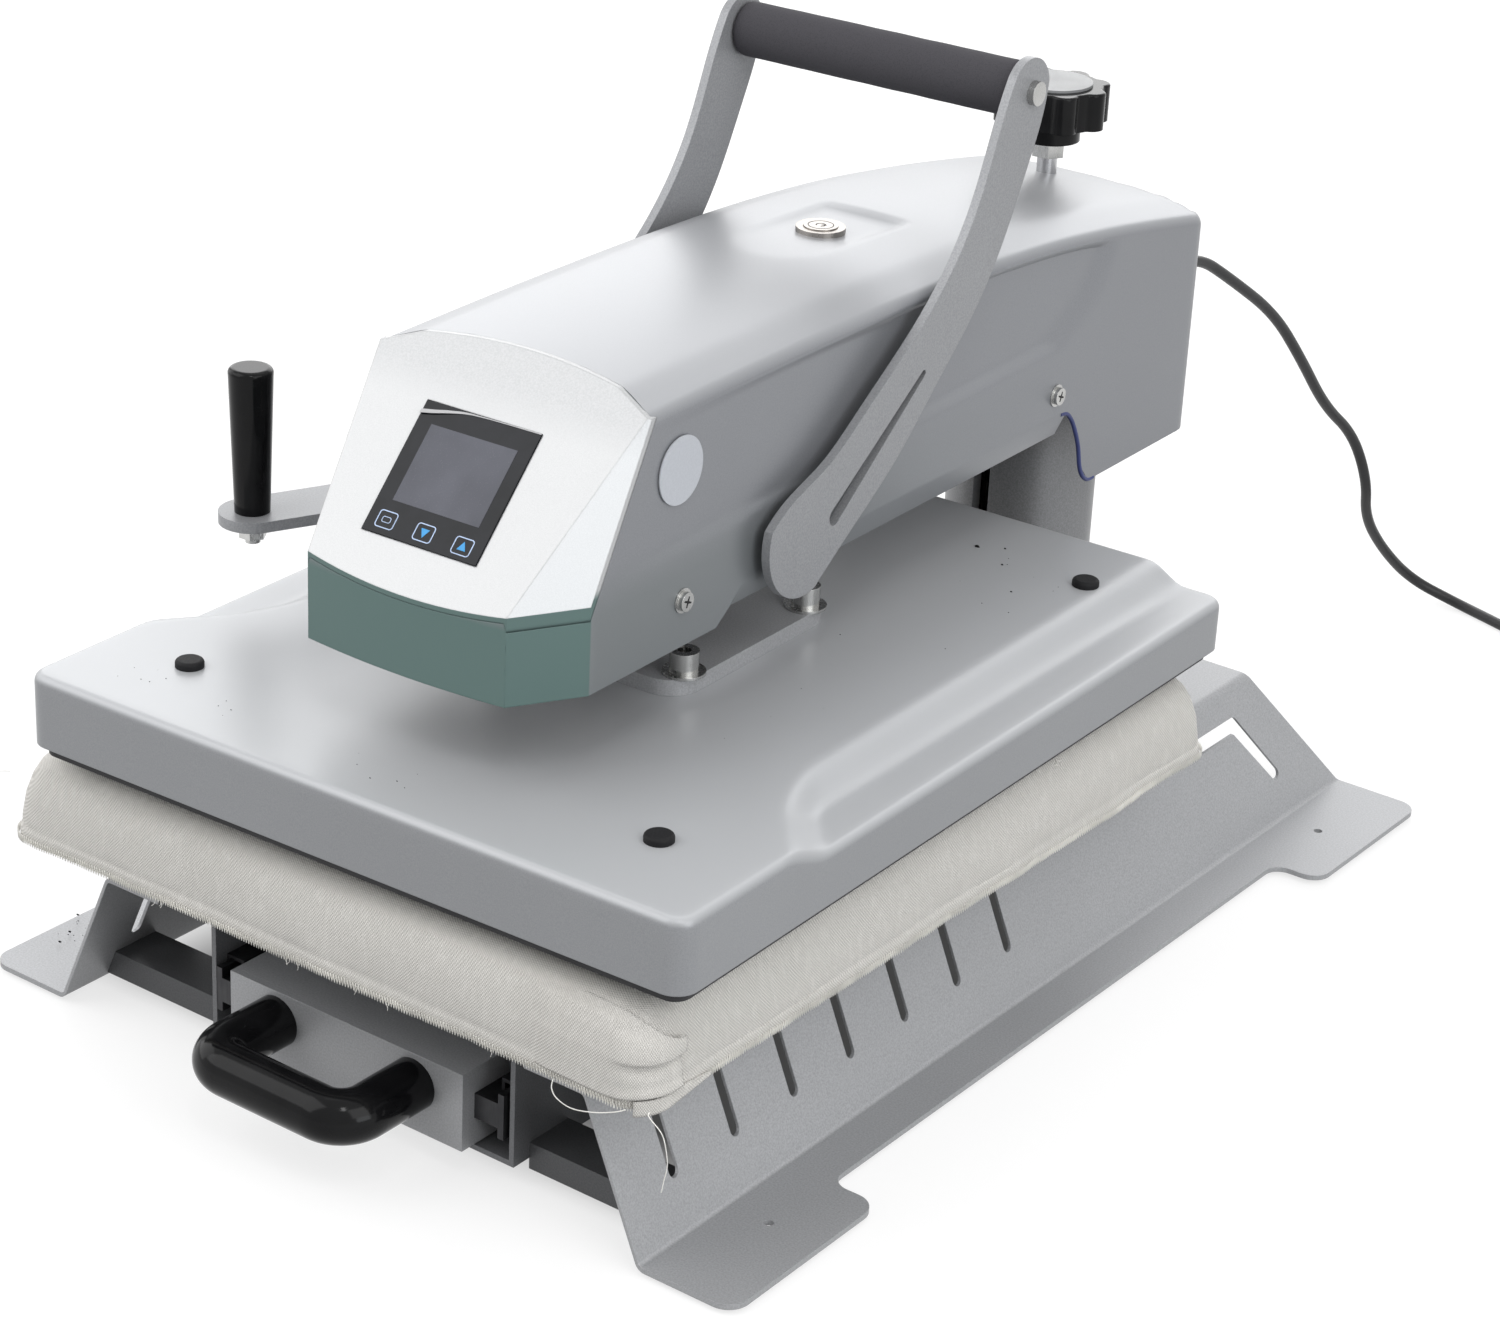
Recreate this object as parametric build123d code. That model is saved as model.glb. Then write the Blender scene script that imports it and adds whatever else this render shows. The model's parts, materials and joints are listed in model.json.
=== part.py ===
from build123d import *
import os
from math import atan2, cos, hypot, pi, radians, sin, sqrt, tan

# Swing-away heat press with a pull-out drawer, in millimetres
# Origin: the centre of the four foot holes, at the underside of the base sheet
# +X is the right side, -Y the front and +Z up

# The head stands a little to the right of the base, as it does while it isn't latched
rest_swing_deg = 1.7

# Fits
running_gap = 0.05
seat_gap = 0.3
thrust_gap = 0.2

# How far a cutting solid reaches past what it cuts
cut_margin = 20.0

# Base sheet wings
base_sheet = 3.0
base_half_length = 346.0
crease_x = 195.0
wing_slope = 2.3
wing_top = 86.0
wing_flange_x = 122.0
wing_rear_y = 280.0
tab_x = 251.0
flange_x = 221.5
front_tab_y = -227.0
rear_tab_y = 221.0
tab_corner_r = 12.0
tab_blend_r = 10.0
bend_r = 3.0
slot_count = 7
slot_pitch = 49.0
first_slot_y = -305.0
slot_w = 7.0
slot_low_z = 28.0
slot_high_z = 68.0
cutout_front_y = 30.0
cutout_rear_y = 255.0
cutout_low_z = 60.0
cutout_band = 9.0
cutout_foot_y = 289.0
cutout_foot_z = 24.0
foot_hole_r = 2.5
foot_hole_x = 220.0
foot_hole_y = 276.0
pad_r = 15.0
pad_h = 3.0
pad_x = 232.0
pad_y = 292.0

# Centre channel, cross tubes and column
channel_half_w = 102.0
channel_wall = 3.0
channel_z = (10.0, 80.0)
channel_y = (-328.0, 325.0)
cross_tube_z = (4.0, 19.0)
cross_tube_wall = 2.0
cross_tube_depth = 30.0
cross_tube_y = (-316.0, 235.0)
column_y = 265.0
column_r = 45.0
column_wall = 8.0
column_top = 245.0
column_slot_w = 11.0
column_slot_z = (110.0, 228.0)
column_plate_t = 8.0
column_plate_y = (205.0, 325.0)
bush_h = 20.0
bush_above_nut = 25.0
nut_h = 18.0

# Lift post and pressure screw
post_r = 30.0
post_bore_r = 22.0
post_low_z = 112.0
post_top_z = 318.0
collar_r = 42.0
collar_t = 2.8
screw_r = 6.0
screw_low_z = 92.0
screw_collar_r = 10.0
screw_collar_t = 8.0
knob_r = 34.0
knob_lobes = 8
knob_lobe_r = 8.0
knob_web = 3.5
knob_web_r = 2.5
knob_edge_r = 1.5
knob_z = (397.0, 419.0)
knob_hub_r = 18.0
knob_hub_h = 11.0
knob_disc_r = 23.0
knob_disc_t = 1.5
lock_nut_h = 10.0
lock_nut_flats = 18.0

# Drawer
drawer_half_w = 78.0
drawer_z = (14.5, 58.0)
drawer_wall = 2.5
drawer_y = (-335.0, 150.0)
drawer_face_t = 4.0
handle_r = 14.0
handle_half = 46.0
handle_reach = 50.0
handle_z = 41.0
rail_sheet = 2.0
outer_rail_w = 12.0
outer_rail_z = (22.0, 52.0)
outer_rail_y = (-320.0, 200.0)
outer_rail_lip = 5.0
inner_rail_y = (-330.0, 150.0)
inner_rail_t = 3.7
inner_web_half_h = 7.0
support_y = (-260.0, 40.0)
support_depth = 34.0
support_half_w = 150.0
riser_x = (45.0, 65.0)
support_bar_h = 14.0
lower_platen_half_w = 200.0
lower_platen_half_l = 250.0
lower_platen_z = (104.0, 116.0)
platen_y = -111.0

# Cloth cover, from the hem up: height, and how far its outside stands past the platen's sides and its ends
cloth_sections = (
    (101.0, 11.0, 6.0),
    (125.0, 9.0, 4.0),
    (142.0, 3.0, -2.0),
    (148.5, -2.5, -7.5),
    (151.0, -10.0, -15.0),
)
cloth_t = 2.0
cloth_corner_r = 18.0

# Upper platen
heating_plate_z = (158.0, 172.0)
cover_overhang = 5.0
cover_z = (164.0, 203.0)
cover_wall = 1.5
cover_corner_r = 12.0
cover_top_r = 5.0
shelf_depth = 10.0
shelf_top_w = 42.0
shelf_floor_w = 27.0
shelf_front_inner = (49.0, 141.0)
shelf_front_outer = (-2.0, 78.0)
insulation_h = 18.0
insulation_edge = 2.0
boss_r = 8.0
plug_side_gap = 15.6
plug_end_gap = 53.75
plug_r = 7.5
plug_dome_h = 4.0
plug_stem_r = 5.0
mounting_half_w = 66.0
mounting_half_l = 70.5
mounting_t = 9.0
mounting_corner_r = 18.0
cap_screw_x = 58.0
cap_screw_y = 54.5
cap_head_r = 7.75
cap_head_h = 11.0
cap_washer_r = 11.5
cap_washer_t = 1.5
cap_shank_r = 4.0
cap_shank_depth = 12.0
cap_socket_r = 3.6
cap_socket_depth = 6.0
guide_y = 50.0
guide_r = 8.0
guide_top_z = 292.0
guide_nut_h = 8.0
guide_nut_r = 12.0
guide_bush_wall = 3.0
guide_bush_flange = 3.0
block_half_x = 16.0
block_half_y = 20.0

# Lever, shaft and cam
lever_y = -111.0
lever_z = 276.0
lever_t = 5.0
lever_travel_deg = 125.0
platen_travel = 6.7
cam_r = 20.0
cam_half_w = 18.0
cam_gap = 0.6
cam_lead_deg = 20.0
shaft_r = 10.0
grip_y = 78.0
grip_z = 470.0
grip_r = 15.0
grip_rod_r = 6.0
grip_head_r = 6.5
grip_head_h = 4.0
grip_shank_r = 3.0
grip_shank_depth = 20.0
lobe_low = (-104.0, 249.0)
lobe_side = (-139.6, 259.8)
lobe_high = (-145.0, 291.0)
lever_front = ((-128, 302), (-98, 313), (-65, 333), (-22, 362), (8, 388), (33, 423), (47, 455))
lever_tip = ((60.0, 481.0), (79.0, 488.5), (94.0, 474.0))
lever_rear = ((91, 458), (78, 429), (57, 390), (31, 357), (1, 329), (-33, 298), (-63, 277))
lever_slot_top = (-12.0, 339.0)
lever_slot_low = (-89.0, 283.0)
lever_slot_top_r = 2.0
lever_slot_low_r = 4.8

# Arm frame
frame_plate_z = 249.0
frame_plate_t = 6.0
frame_half_w = 60.0
frame_y = (-218.0, 300.0)
side_plate_x = 38.0
side_plate_t = 6.0
side_plate_low_top = 300.0
side_plate_step_y = (60.0, -70.0)
side_plate_step_r = 20.0
side_plate_front_r = 8.0
side_plate_front_drop = 20.0
side_plate_setback = 3.0
hub_r = 42.0
hub_top = 330.0
top_plate_t = 6.0
top_plate_margin = 20.0
cam_window = (20.0, 32.0)
bracket_w = 20.0
bracket_t = 3.0
bracket_drop = 7.0
shaft_bush_wall = 3.0
shaft_bush_l = 10.0

# Head cover
head_half_w = 83.0
lever_side_gap = 6.0
lever_x = head_half_w + lever_side_gap
head_wall = 2.0
head_front_y = -315.0
head_front_half = 61.0
head_front_bow = 4.0
head_chamfer_y = -279.0
head_rear_y = 318.0
head_rear_corner_r = 15.0
head_low_z = 247.0
head_rear_low_z = 214.0
fascia_low_z = 293.0
fascia_high = (-233.0, 380.0)
facet_apex = (-236.0, 374.0)
fascia_t = 2.0
roof_line = ((-330, 384), (-231, 387), (-100, 389), (29, 388), (126, 383), (200, 375), (267, 365), (330, 354))
roof_arch_x = 59.0
roof_arch_drop = 4.0
roof_side_drop = 12.0
roof_rear_r = 40.0
lip_crease_z = 265.0
lip_low_z = 251.0
lip_in = 5.5
lip_y = (-160.0, 162.0)
cutout_line = ((154, 265), (166, 263), (174, 255), (182, 240), (186, 226), (196, 214))
side_ramp = ((-175, 247), (-150, 265))
shaft_hole_gap = 0.6
rod_slot_half = 10.0
rod_slot_gap = 1.5
recess_half_w = 25.0
recess_y = (-40.0, 70.0)
recess_z = (389.2, 383.5)
side_screw_spots = ((150.0, 279.0), (-205.0, 272.0))
side_screw_r = 2.5
side_screw_head_r = 5.0
side_screw_head_h = 2.6
side_washer_r = 6.5
side_washer_t = 0.9
side_disc_spot = (-211.0, 342.0)
side_disc_r = 17.5
side_disc_t = 0.8
display_w = 70.0
display_x = -3.0
display_low = (-301.5, 306.5)
display_high = (-252.0, 358.0)
display_gap = 0.2
display_proud = 0.8
display_margin = 6.0
controller_depth = 24.0

# Power button
button_y = 27.0
button_r = 9.4
button_travel = 2.5
button_top = 389.4
bezel_r = 13.5
bezel_top = 388.8
bezel_flange_depth = 8.0
bezel_barrel_r = 11.0
bezel_low_z = 366.0
bezel_floor = 2.0

# Swing arm and its grip
swing_grip_at = (-187.0, -216.0)
swing_end_at = (-40.0, 87.0)
swing_half_w = 18.0
swing_t = 6.0
swing_slot_w = 9.0
swing_slot_from = 70.0
swing_slot_to = 235.0
swing_grip_r = (9.5, 12.0)
swing_grip_top = 329.0
swing_stud_r = 4.0
swing_washer_r = 9.0
swing_washer_t = 1.6
swing_nut_h = 7.0
swing_nut_flats = 13.0

# Mains cord
cord_r = 3.5
gland_x = 52.0
gland_z = 300.5
gland_r = 11.0
gland_nut_t = 8.0
gland_barrel_r = 8.0
gland_l = 28.0
gland_tip_r = 4.6
floor_z = -pad_h
cord_on_floor = floor_z + cord_r
cord_first_run = 21.0
cord_route = (
    (55, 403, 279),
    (63, 450, 247),
    (69, 482, 210),
    (72, 517, 169),
    (79, 550, 142),
    (88, 561, 108),
    (82, 577, 76),
    (84, 606, 44),
    (93, 638, 14),
    (122, 652, cord_on_floor),
    (155, 641, cord_on_floor),
    (190, 629, cord_on_floor),
)
coil_outer_r = 49.0
coil_pitch = 7.7
coil_layer = 7.6
coil_turns = 5.1
coil_tail = 20.0
plug_body = (36.0, 26.0, 22.0)
plug_taper_l = 20.0
plug_edge_r = 4.0
blade_size = (18.0, 1.6, 6.3)
blade_gap = 12.7


def box(x, y, z):
    size = (x[1] - x[0], y[1] - y[0], z[1] - z[0])
    return Pos((x[0] + x[1]) / 2, (y[0] + y[1]) / 2, (z[0] + z[1]) / 2) * Box(*size)


def cyl(x, y, z0, z1, r):
    return Pos(x, y, (z0 + z1) / 2) * Cylinder(r, z1 - z0)


def cone(x, y, z0, z1, r0, r1):
    return Pos(x, y, (z0 + z1) / 2) * Cone(r0, r1, z1 - z0)


def cyl_x(y, z, x0, x1, r):
    return Pos((x0 + x1) / 2, y, z) * Rot(0, 90, 0) * Cylinder(r, x1 - x0)


def cyl_y(x, z, y0, y1, r):
    return Pos(x, (y0 + y1) / 2, z) * Rot(90, 0, 0) * Cylinder(r, y1 - y0)


def hex_nut(x, y, z0, z1, flats, bore_r):
    sides = extrude(Pos(x, y, z0) * RegularPolygon(flats / sqrt(3), 6), z1 - z0)
    return sides - cyl(x, y, z0, z1, bore_r)


def outline(points, radii=None):
    if radii is None:
        return make_face(Polyline(*points, close=True))
    return make_face(FilletPolyline(*points, radius=radii, close=True))


def prism_x(points, x0, x1, radii=None):
    face = outline([(x0, y, z) for y, z in points], radii)
    return extrude(face, x1 - x0, dir=(1, 0, 0))


def prism_y(points, y0, y1, radii=None):
    face = outline([(x, y0, z) for x, z in points], radii)
    return extrude(face, y1 - y0, dir=(0, 1, 0))


def prism_z(points, z0, z1, radii=None):
    face = outline([(x, y, z0) for x, y in points], radii)
    return extrude(face, z1 - z0, dir=(0, 0, 1))


def rounded_block(x, y, z, r):
    return fillet(box(x, y, z).edges().filter_by(Axis.Z), r)


def beyond(point, normal):
    reach = 2000.0
    half = Box(reach, reach, reach, align=(Align.CENTER, Align.CENTER, Align.MIN))
    return Plane(origin=point, z_dir=normal) * half


def mirrored(shape):
    return mirror(shape, about=Plane.YZ)


def both_sides(shape):
    return [shape, mirrored(shape)]


# Base


def wing_inner_x(z):
    return crease_x - base_sheet * (hypot(1, wing_slope) - 1) / wing_slope - (z - base_sheet) / wing_slope


def make_wing():
    top_x = crease_x - (wing_top - base_sheet) / wing_slope
    profile = (
        (crease_x + 5, 0),
        (crease_x + 5, base_sheet),
        (crease_x, base_sheet),
        (top_x, wing_top),
        (wing_flange_x, wing_top),
        (wing_flange_x, wing_top - base_sheet),
        (wing_inner_x(wing_top - base_sheet), wing_top - base_sheet),
        (wing_inner_x(0), 0),
    )
    outer_r = bend_r + base_sheet
    wing = prism_y(profile, -base_half_length, base_half_length, [0, 0, bend_r, outer_r, 0, 0, bend_r, outer_r])
    rear_run = (base_half_length - wing_rear_y) / (wing_top - base_sheet)
    above = wing_top + cut_margin
    rear_cut = (
        (base_half_length, base_sheet),
        (base_half_length + cut_margin, base_sheet),
        (base_half_length + cut_margin, above),
        (base_half_length - rear_run * (above - base_sheet), above),
    )
    wing -= prism_x(rear_cut, 0, tab_x)
    flange = (
        (crease_x + 2, -base_half_length),
        (tab_x, -base_half_length),
        (tab_x, front_tab_y),
        (flange_x, front_tab_y),
        (flange_x, rear_tab_y),
        (tab_x, rear_tab_y),
        (tab_x, base_half_length),
        (crease_x + 2, base_half_length),
    )
    radii = [0, tab_corner_r, tab_corner_r, tab_blend_r, tab_blend_r, tab_corner_r, tab_corner_r, 0]
    wing += prism_z(flange, 0, base_sheet, radii)
    inside_x = wing_flange_x + cut_margin
    outside_x = crease_x + 2
    for i in range(slot_count):
        y = first_slot_y + slot_pitch * i
        end_r = slot_w / 2
        wing -= box((inside_x, outside_x), (y - end_r, y + end_r), (slot_low_z + end_r, slot_high_z - end_r))
        wing -= cyl_x(y, slot_low_z + end_r, inside_x, outside_x, end_r)
        wing -= cyl_x(y, slot_high_z - end_r, inside_x, outside_x, end_r)
    foot_w = cutout_band * 1.05
    cutout = (
        (cutout_front_y, cutout_low_z),
        (cutout_front_y, cutout_low_z + cutout_band),
        (cutout_rear_y, cutout_low_z + cutout_band),
        (cutout_foot_y, cutout_foot_z),
        (cutout_foot_y - foot_w, cutout_foot_z),
        (cutout_rear_y - foot_w / 2, cutout_low_z),
    )
    wing -= prism_x(cutout, inside_x, outside_x, [3, 3, 6, 3, 3, 1])
    for y in (-foot_hole_y, foot_hole_y):
        wing -= cyl(foot_hole_x, y, -1, base_sheet + 1, foot_hole_r)
    return wing


def make_foot_pads():
    return [cyl(x, y, floor_z, 0, pad_r) for x in (-pad_x, pad_x) for y in (-pad_y, pad_y)]


def make_cross_tubes():
    tubes = []
    low, high = cross_tube_z
    w = cross_tube_wall
    for y in cross_tube_y:
        shape = []
        for inset in (0, w):
            z0 = low + inset
            z1 = high - inset
            points = (
                (channel_half_w, z0),
                (wing_inner_x(z0), z0),
                (wing_inner_x(z1), z1),
                (channel_half_w, z1),
            )
            shape.append(prism_y(points, y + inset, y + cross_tube_depth - inset))
        tubes += both_sides(shape[0] - shape[1])
    return tubes


def make_slide_channel():
    w = channel_half_w
    t = channel_wall
    low, high = channel_z
    return box((-w, w), channel_y, (low, high)) - box((-w + t, w - t), channel_y, (low + t, high + t))


column_plate_z = (channel_z[1], channel_z[1] + column_plate_t)
column_bore_r = column_r - column_wall
nut_z = (column_plate_z[1], column_plate_z[1] + nut_h)


def make_column_plate():
    return box((-channel_half_w, channel_half_w), column_plate_y, column_plate_z)


def make_column_tube():
    tube = cyl(0, column_y, column_plate_z[1], column_top, column_r)
    tube -= cyl(0, column_y, column_plate_z[1], column_top, column_bore_r)
    half = column_slot_w / 2
    tube -= box((-half, half), (column_y - column_r - 1, column_y - column_bore_r + 3), column_slot_z)
    return tube


def make_column_bushes():
    bushes = []
    for z0 in (nut_z[1] + bush_above_nut, column_top - bush_h):
        ring = cyl(0, column_y, z0, z0 + bush_h, column_bore_r)
        bushes.append(ring - cyl(0, column_y, z0, z0 + bush_h, post_r + running_gap))
    return bushes


def make_pressure_nut():
    nut = cyl(0, column_y, nut_z[0], nut_z[1], column_bore_r)
    return nut - cyl(0, column_y, nut_z[0], nut_z[1], screw_r + running_gap)


rail_back_x = channel_half_w - channel_wall
rail_lip_x = rail_back_x - outer_rail_w


def make_outer_rails():
    low, high = outer_rail_z
    rail = box((rail_lip_x, rail_back_x), outer_rail_y, outer_rail_z)
    rail -= box((rail_lip_x, rail_back_x - rail_sheet), outer_rail_y, (low + rail_sheet, high - rail_sheet))
    lip_x = (rail_lip_x, rail_lip_x + rail_sheet)
    rail += box(lip_x, outer_rail_y, (low, low + rail_sheet + outer_rail_lip))
    rail += box(lip_x, outer_rail_y, (high - rail_sheet - outer_rail_lip, high))
    return both_sides(rail)


# Drawer


def make_drawer_carriage():
    w = drawer_half_w
    t = drawer_wall
    low, high = drawer_z
    return box((-w, w), drawer_y, (low, high)) - box((-w + t, w - t), drawer_y, (low - t, high - t))


drawer_front_y = drawer_y[0] - drawer_face_t


def make_drawer_face():
    return box((-drawer_half_w, drawer_half_w), (drawer_front_y, drawer_y[0]), drawer_z)


def make_d_handle():
    bar_y = drawer_front_y - handle_reach
    bend = handle_r * 1.15
    path = FilletPolyline(
        (-handle_half, drawer_front_y, handle_z),
        (-handle_half, bar_y, handle_z),
        (handle_half, bar_y, handle_z),
        (handle_half, drawer_front_y, handle_z),
        radius=bend,
    )
    section = Plane(origin=(-handle_half, drawer_front_y, handle_z), z_dir=(0, -1, 0)) * Circle(handle_r)
    return sweep(section, path=path)


def make_inner_rails():
    middle = (outer_rail_z[0] + outer_rail_z[1]) / 2
    plate_x1 = rail_back_x - rail_sheet - seat_gap
    plate_x0 = plate_x1 - inner_rail_t
    plate_z = (outer_rail_z[0] + rail_sheet + seat_gap, outer_rail_z[1] - rail_sheet - seat_gap)
    rail = box((plate_x0, plate_x1), inner_rail_y, plate_z)
    rail += box((drawer_half_w, plate_x0), inner_rail_y, (middle - inner_web_half_h, middle + inner_web_half_h))
    return both_sides(rail)


def make_platen_support():
    supports = []
    bar_z = (lower_platen_z[0] - support_bar_h, lower_platen_z[0])
    for y in support_y:
        depth = (y - support_depth / 2, y + support_depth / 2)
        support = box((-support_half_w, support_half_w), depth, bar_z)
        for side in (-1, 1):
            x = sorted((side * riser_x[0], side * riser_x[1]))
            support += box(x, depth, (drawer_z[1], bar_z[0]))
        supports.append(support)
    return supports


platen_front = platen_y - lower_platen_half_l
platen_rear = platen_y + lower_platen_half_l


def make_lower_platen():
    return rounded_block(
        (-lower_platen_half_w, lower_platen_half_w), (platen_front, platen_rear), lower_platen_z, cloth_corner_r / 2
    )


def cushion(sections, inset):
    faces = []
    for z, past_side, past_end in sections:
        half_w = lower_platen_half_w + past_side - inset
        half_l = lower_platen_half_l + past_end - inset
        shape = RectangleRounded(2 * half_w, 2 * half_l, cloth_corner_r)
        faces.append(Pos(0, platen_y, z) * shape)
    return loft(faces, ruled=True)


def cloth_space(inset, low_z):
    sections = [section for section in cloth_sections]
    sections[0] = (low_z, sections[0][1], sections[0][2])
    top = sections[-1]
    sections[-1] = (top[0] - inset, top[1], top[2])
    return cushion(sections, inset)


def make_platen_cloth():
    hem_z = cloth_sections[0][0]
    return cloth_space(0, hem_z) - cloth_space(cloth_t, hem_z - 1)


def make_foam_pad():
    sections = list(cloth_sections)
    sections[0] = (lower_platen_z[1], sections[1][1], sections[1][2])
    inset = cloth_t + seat_gap
    top = sections[-1]
    sections[-1] = (top[0] - inset, top[1], top[2])
    pad = cushion(sections, inset)
    return pad


# Lift post


base_plate_z = (frame_plate_z, frame_plate_z + frame_plate_t)
post_collar_z = (frame_plate_z - thrust_gap - collar_t, frame_plate_z - thrust_gap)


def make_lift_post():
    post = cyl(0, column_y, post_low_z, post_top_z, post_r)
    post += cyl(0, column_y, post_collar_z[0], post_collar_z[1], collar_r)
    return post - cyl(0, column_y, post_low_z, post_top_z, post_bore_r)


# Arm frame


def guide_spots():
    return [(0, platen_y - guide_y), (0, platen_y + guide_y)]


guide_bush_r = guide_r + running_gap + guide_bush_wall
shaft_bush_r = shaft_r + running_gap + shaft_bush_wall


def make_frame_base_plate():
    w = frame_half_w
    plate = rounded_block((-w, w), frame_y, base_plate_z, 10)
    plate -= cyl(0, column_y, base_plate_z[0], base_plate_z[1], post_r + running_gap)
    half_x, half_y = cam_window
    plate -= box((-half_x, half_x), (platen_y - half_y, platen_y + half_y), base_plate_z)
    for x, y in guide_spots():
        plate -= cyl(x, y, base_plate_z[0], base_plate_z[1], guide_bush_r)
    return plate


def make_frame_side_plates():
    x0 = side_plate_x
    x1 = side_plate_x + side_plate_t
    low = base_plate_z[1]
    front = frame_y[0] + side_plate_setback
    step_rear, step_front = side_plate_step_y
    profile = (
        (front, low),
        (column_y, low),
        (column_y, hub_top),
        (step_rear, hub_top),
        (step_front, side_plate_low_top),
        (front, side_plate_low_top - side_plate_front_drop),
    )
    step_r = side_plate_step_r
    plate = prism_x(profile, x0, x1, [0, 0, 0, step_r, step_r, side_plate_front_r])
    plate -= cyl(0, column_y, low, hub_top, hub_r)
    plate -= cyl_x(lever_y, lever_z, x0, x1, shaft_bush_r)
    inside_x = head_half_w - head_wall
    for y, z in side_screw_spots:
        wide = (y - bracket_w / 2, y + bracket_w / 2)
        plate += box((x1, inside_x), wide, (z - bracket_drop - bracket_t, z - bracket_drop))
        plate += box((inside_x - bracket_t, inside_x), wide, (z - bracket_drop, z + bracket_drop))
        plate -= cyl_x(y, z, inside_x - bracket_t, inside_x, side_screw_r)
    return both_sides(plate)


def make_hub_sleeve():
    sleeve = cyl(0, column_y, base_plate_z[1], hub_top, hub_r)
    return sleeve - cyl(0, column_y, base_plate_z[1], hub_top, post_r + running_gap)


top_plate_z = (hub_top, hub_top + top_plate_t)


def make_frame_top_plate():
    w = side_plate_x + side_plate_t
    plate = rounded_block((-w, w), (column_y - hub_r - top_plate_margin, column_y + hub_r), top_plate_z, 6)
    return plate - cyl(0, column_y, top_plate_z[0], top_plate_z[1], screw_r + running_gap)


def make_frame_bushes():
    bushes = []
    for x, y in guide_spots():
        bush = cyl(x, y, base_plate_z[0] - 3, base_plate_z[1], guide_bush_r)
        bush += cyl(x, y, base_plate_z[1], base_plate_z[1] + guide_bush_flange, guide_bush_r + 3)
        bushes.append(bush - cyl(x, y, base_plate_z[0] - 3, base_plate_z[1] + 5, guide_r + running_gap))
    middle = side_plate_x + side_plate_t / 2
    ends = (middle - shaft_bush_l / 2, middle + shaft_bush_l / 2)
    ring = cyl_x(lever_y, lever_z, ends[0], ends[1], shaft_bush_r)
    bushes += both_sides(ring - cyl_x(lever_y, lever_z, ends[0], ends[1], shaft_r + running_gap))
    return bushes


# Head cover


def roof_section(y, top, inset, low):
    w = head_half_w - inset
    shoulder = (roof_arch_x, y, top - roof_arch_drop - inset)
    other = (-roof_arch_x, y, top - roof_arch_drop - inset)
    side_top = top - roof_side_drop - inset
    walls = Polyline(shoulder, (w, y, side_top), (w, y, low), (-w, y, low), (-w, y, side_top), other)
    arch = ThreePointArc(other, (0, y, top - inset), shoulder)
    return Face(Wire(list(walls.edges()) + list(arch.edges())))


def head_plan(inset):
    front_y = head_front_y
    bow = ThreePointArc((-head_front_half, front_y), (0, front_y - head_front_bow), (head_front_half, front_y))
    r = head_rear_corner_r
    w = head_half_w
    walls = FilletPolyline(
        (head_front_half, front_y),
        (w, head_chamfer_y),
        (w, head_rear_y),
        (-w, head_rear_y),
        (-w, head_chamfer_y),
        (-head_front_half, front_y),
        radius=[0, r, r, 0],
    )
    face = make_face(list(walls.edges()) + list(bow.edges()))
    if inset:
        face = offset(face, amount=-inset, kind=Kind.INTERSECTION)
    return face


def roof_height(y):
    for (y0, z0), (y1, z1) in zip(roof_line, roof_line[1:]):
        if y0 <= y <= y1:
            return z0 + (z1 - z0) * (y - y0) / (y1 - y0)
    return roof_line[-1][1]


def fascia_normal():
    run = fascia_high[0] - head_front_y
    rise = fascia_high[1] - fascia_low_z
    length = hypot(run, rise)
    return Vector(0, -rise / length, run / length)


def facet_normal(side):
    corner = Vector(side * head_front_half, head_front_y, fascia_low_z)
    outer = Vector(side * head_half_w, head_chamfer_y, fascia_low_z)
    apex = Vector(side * head_half_w, facet_apex[0], facet_apex[1])
    normal = (outer - corner).cross(apex - corner).normalized()
    return normal if normal.X * side > 0 else -normal


def head_form(inset, fascia_inset, low):
    body = loft([roof_section(y, z, inset, low) for y, z in roof_line])
    arch_top = max(z for y, z in roof_line)
    body = body & extrude(Pos(0, 0, low) * head_plan(inset), arch_top - low + cut_margin)
    arc_y = head_rear_y - roof_rear_r
    arc_z = roof_height(arc_y) - roof_rear_r
    r = roof_rear_r - inset
    high = arch_top + cut_margin
    front = head_front_y - cut_margin
    rear = Polyline((arc_y + r, arc_z), (arc_y + r, low), (front, low), (front, high), (arc_y, high), (arc_y, arc_z + r))
    turn = ThreePointArc((arc_y, arc_z + r), (arc_y + r * sin(pi / 4), arc_z + r * cos(pi / 4)), (arc_y + r, arc_z))
    reach = head_half_w + cut_margin
    side = Plane.YZ.offset(-reach) * make_face(list(rear.edges()) + list(turn.edges()))
    body = body & extrude(side, 2 * reach, dir=(1, 0, 0))
    normal = fascia_normal()
    start = Vector(0, head_front_y, fascia_low_z) - normal * fascia_inset
    body = body - beyond(start, normal)
    for hand in (-1, 1):
        tilt = facet_normal(hand)
        corner = Vector(hand * head_front_half, head_front_y, fascia_low_z) - tilt * fascia_inset
        body = body - beyond(corner, tilt)
    y0, y1 = recess_y
    z0, z1 = recess_z
    half = recess_half_w + inset
    recess = ((y0 - inset, z0 - inset), (y1 + inset, z1 - inset), (y1 + inset, high), (y0 - inset, high))
    return body - prism_x(recess, -half, half)


display_plane_x = (display_x - display_w / 2, display_x + display_w / 2)
display_length = hypot(display_high[0] - display_low[0], display_high[1] - display_low[1])


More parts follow.
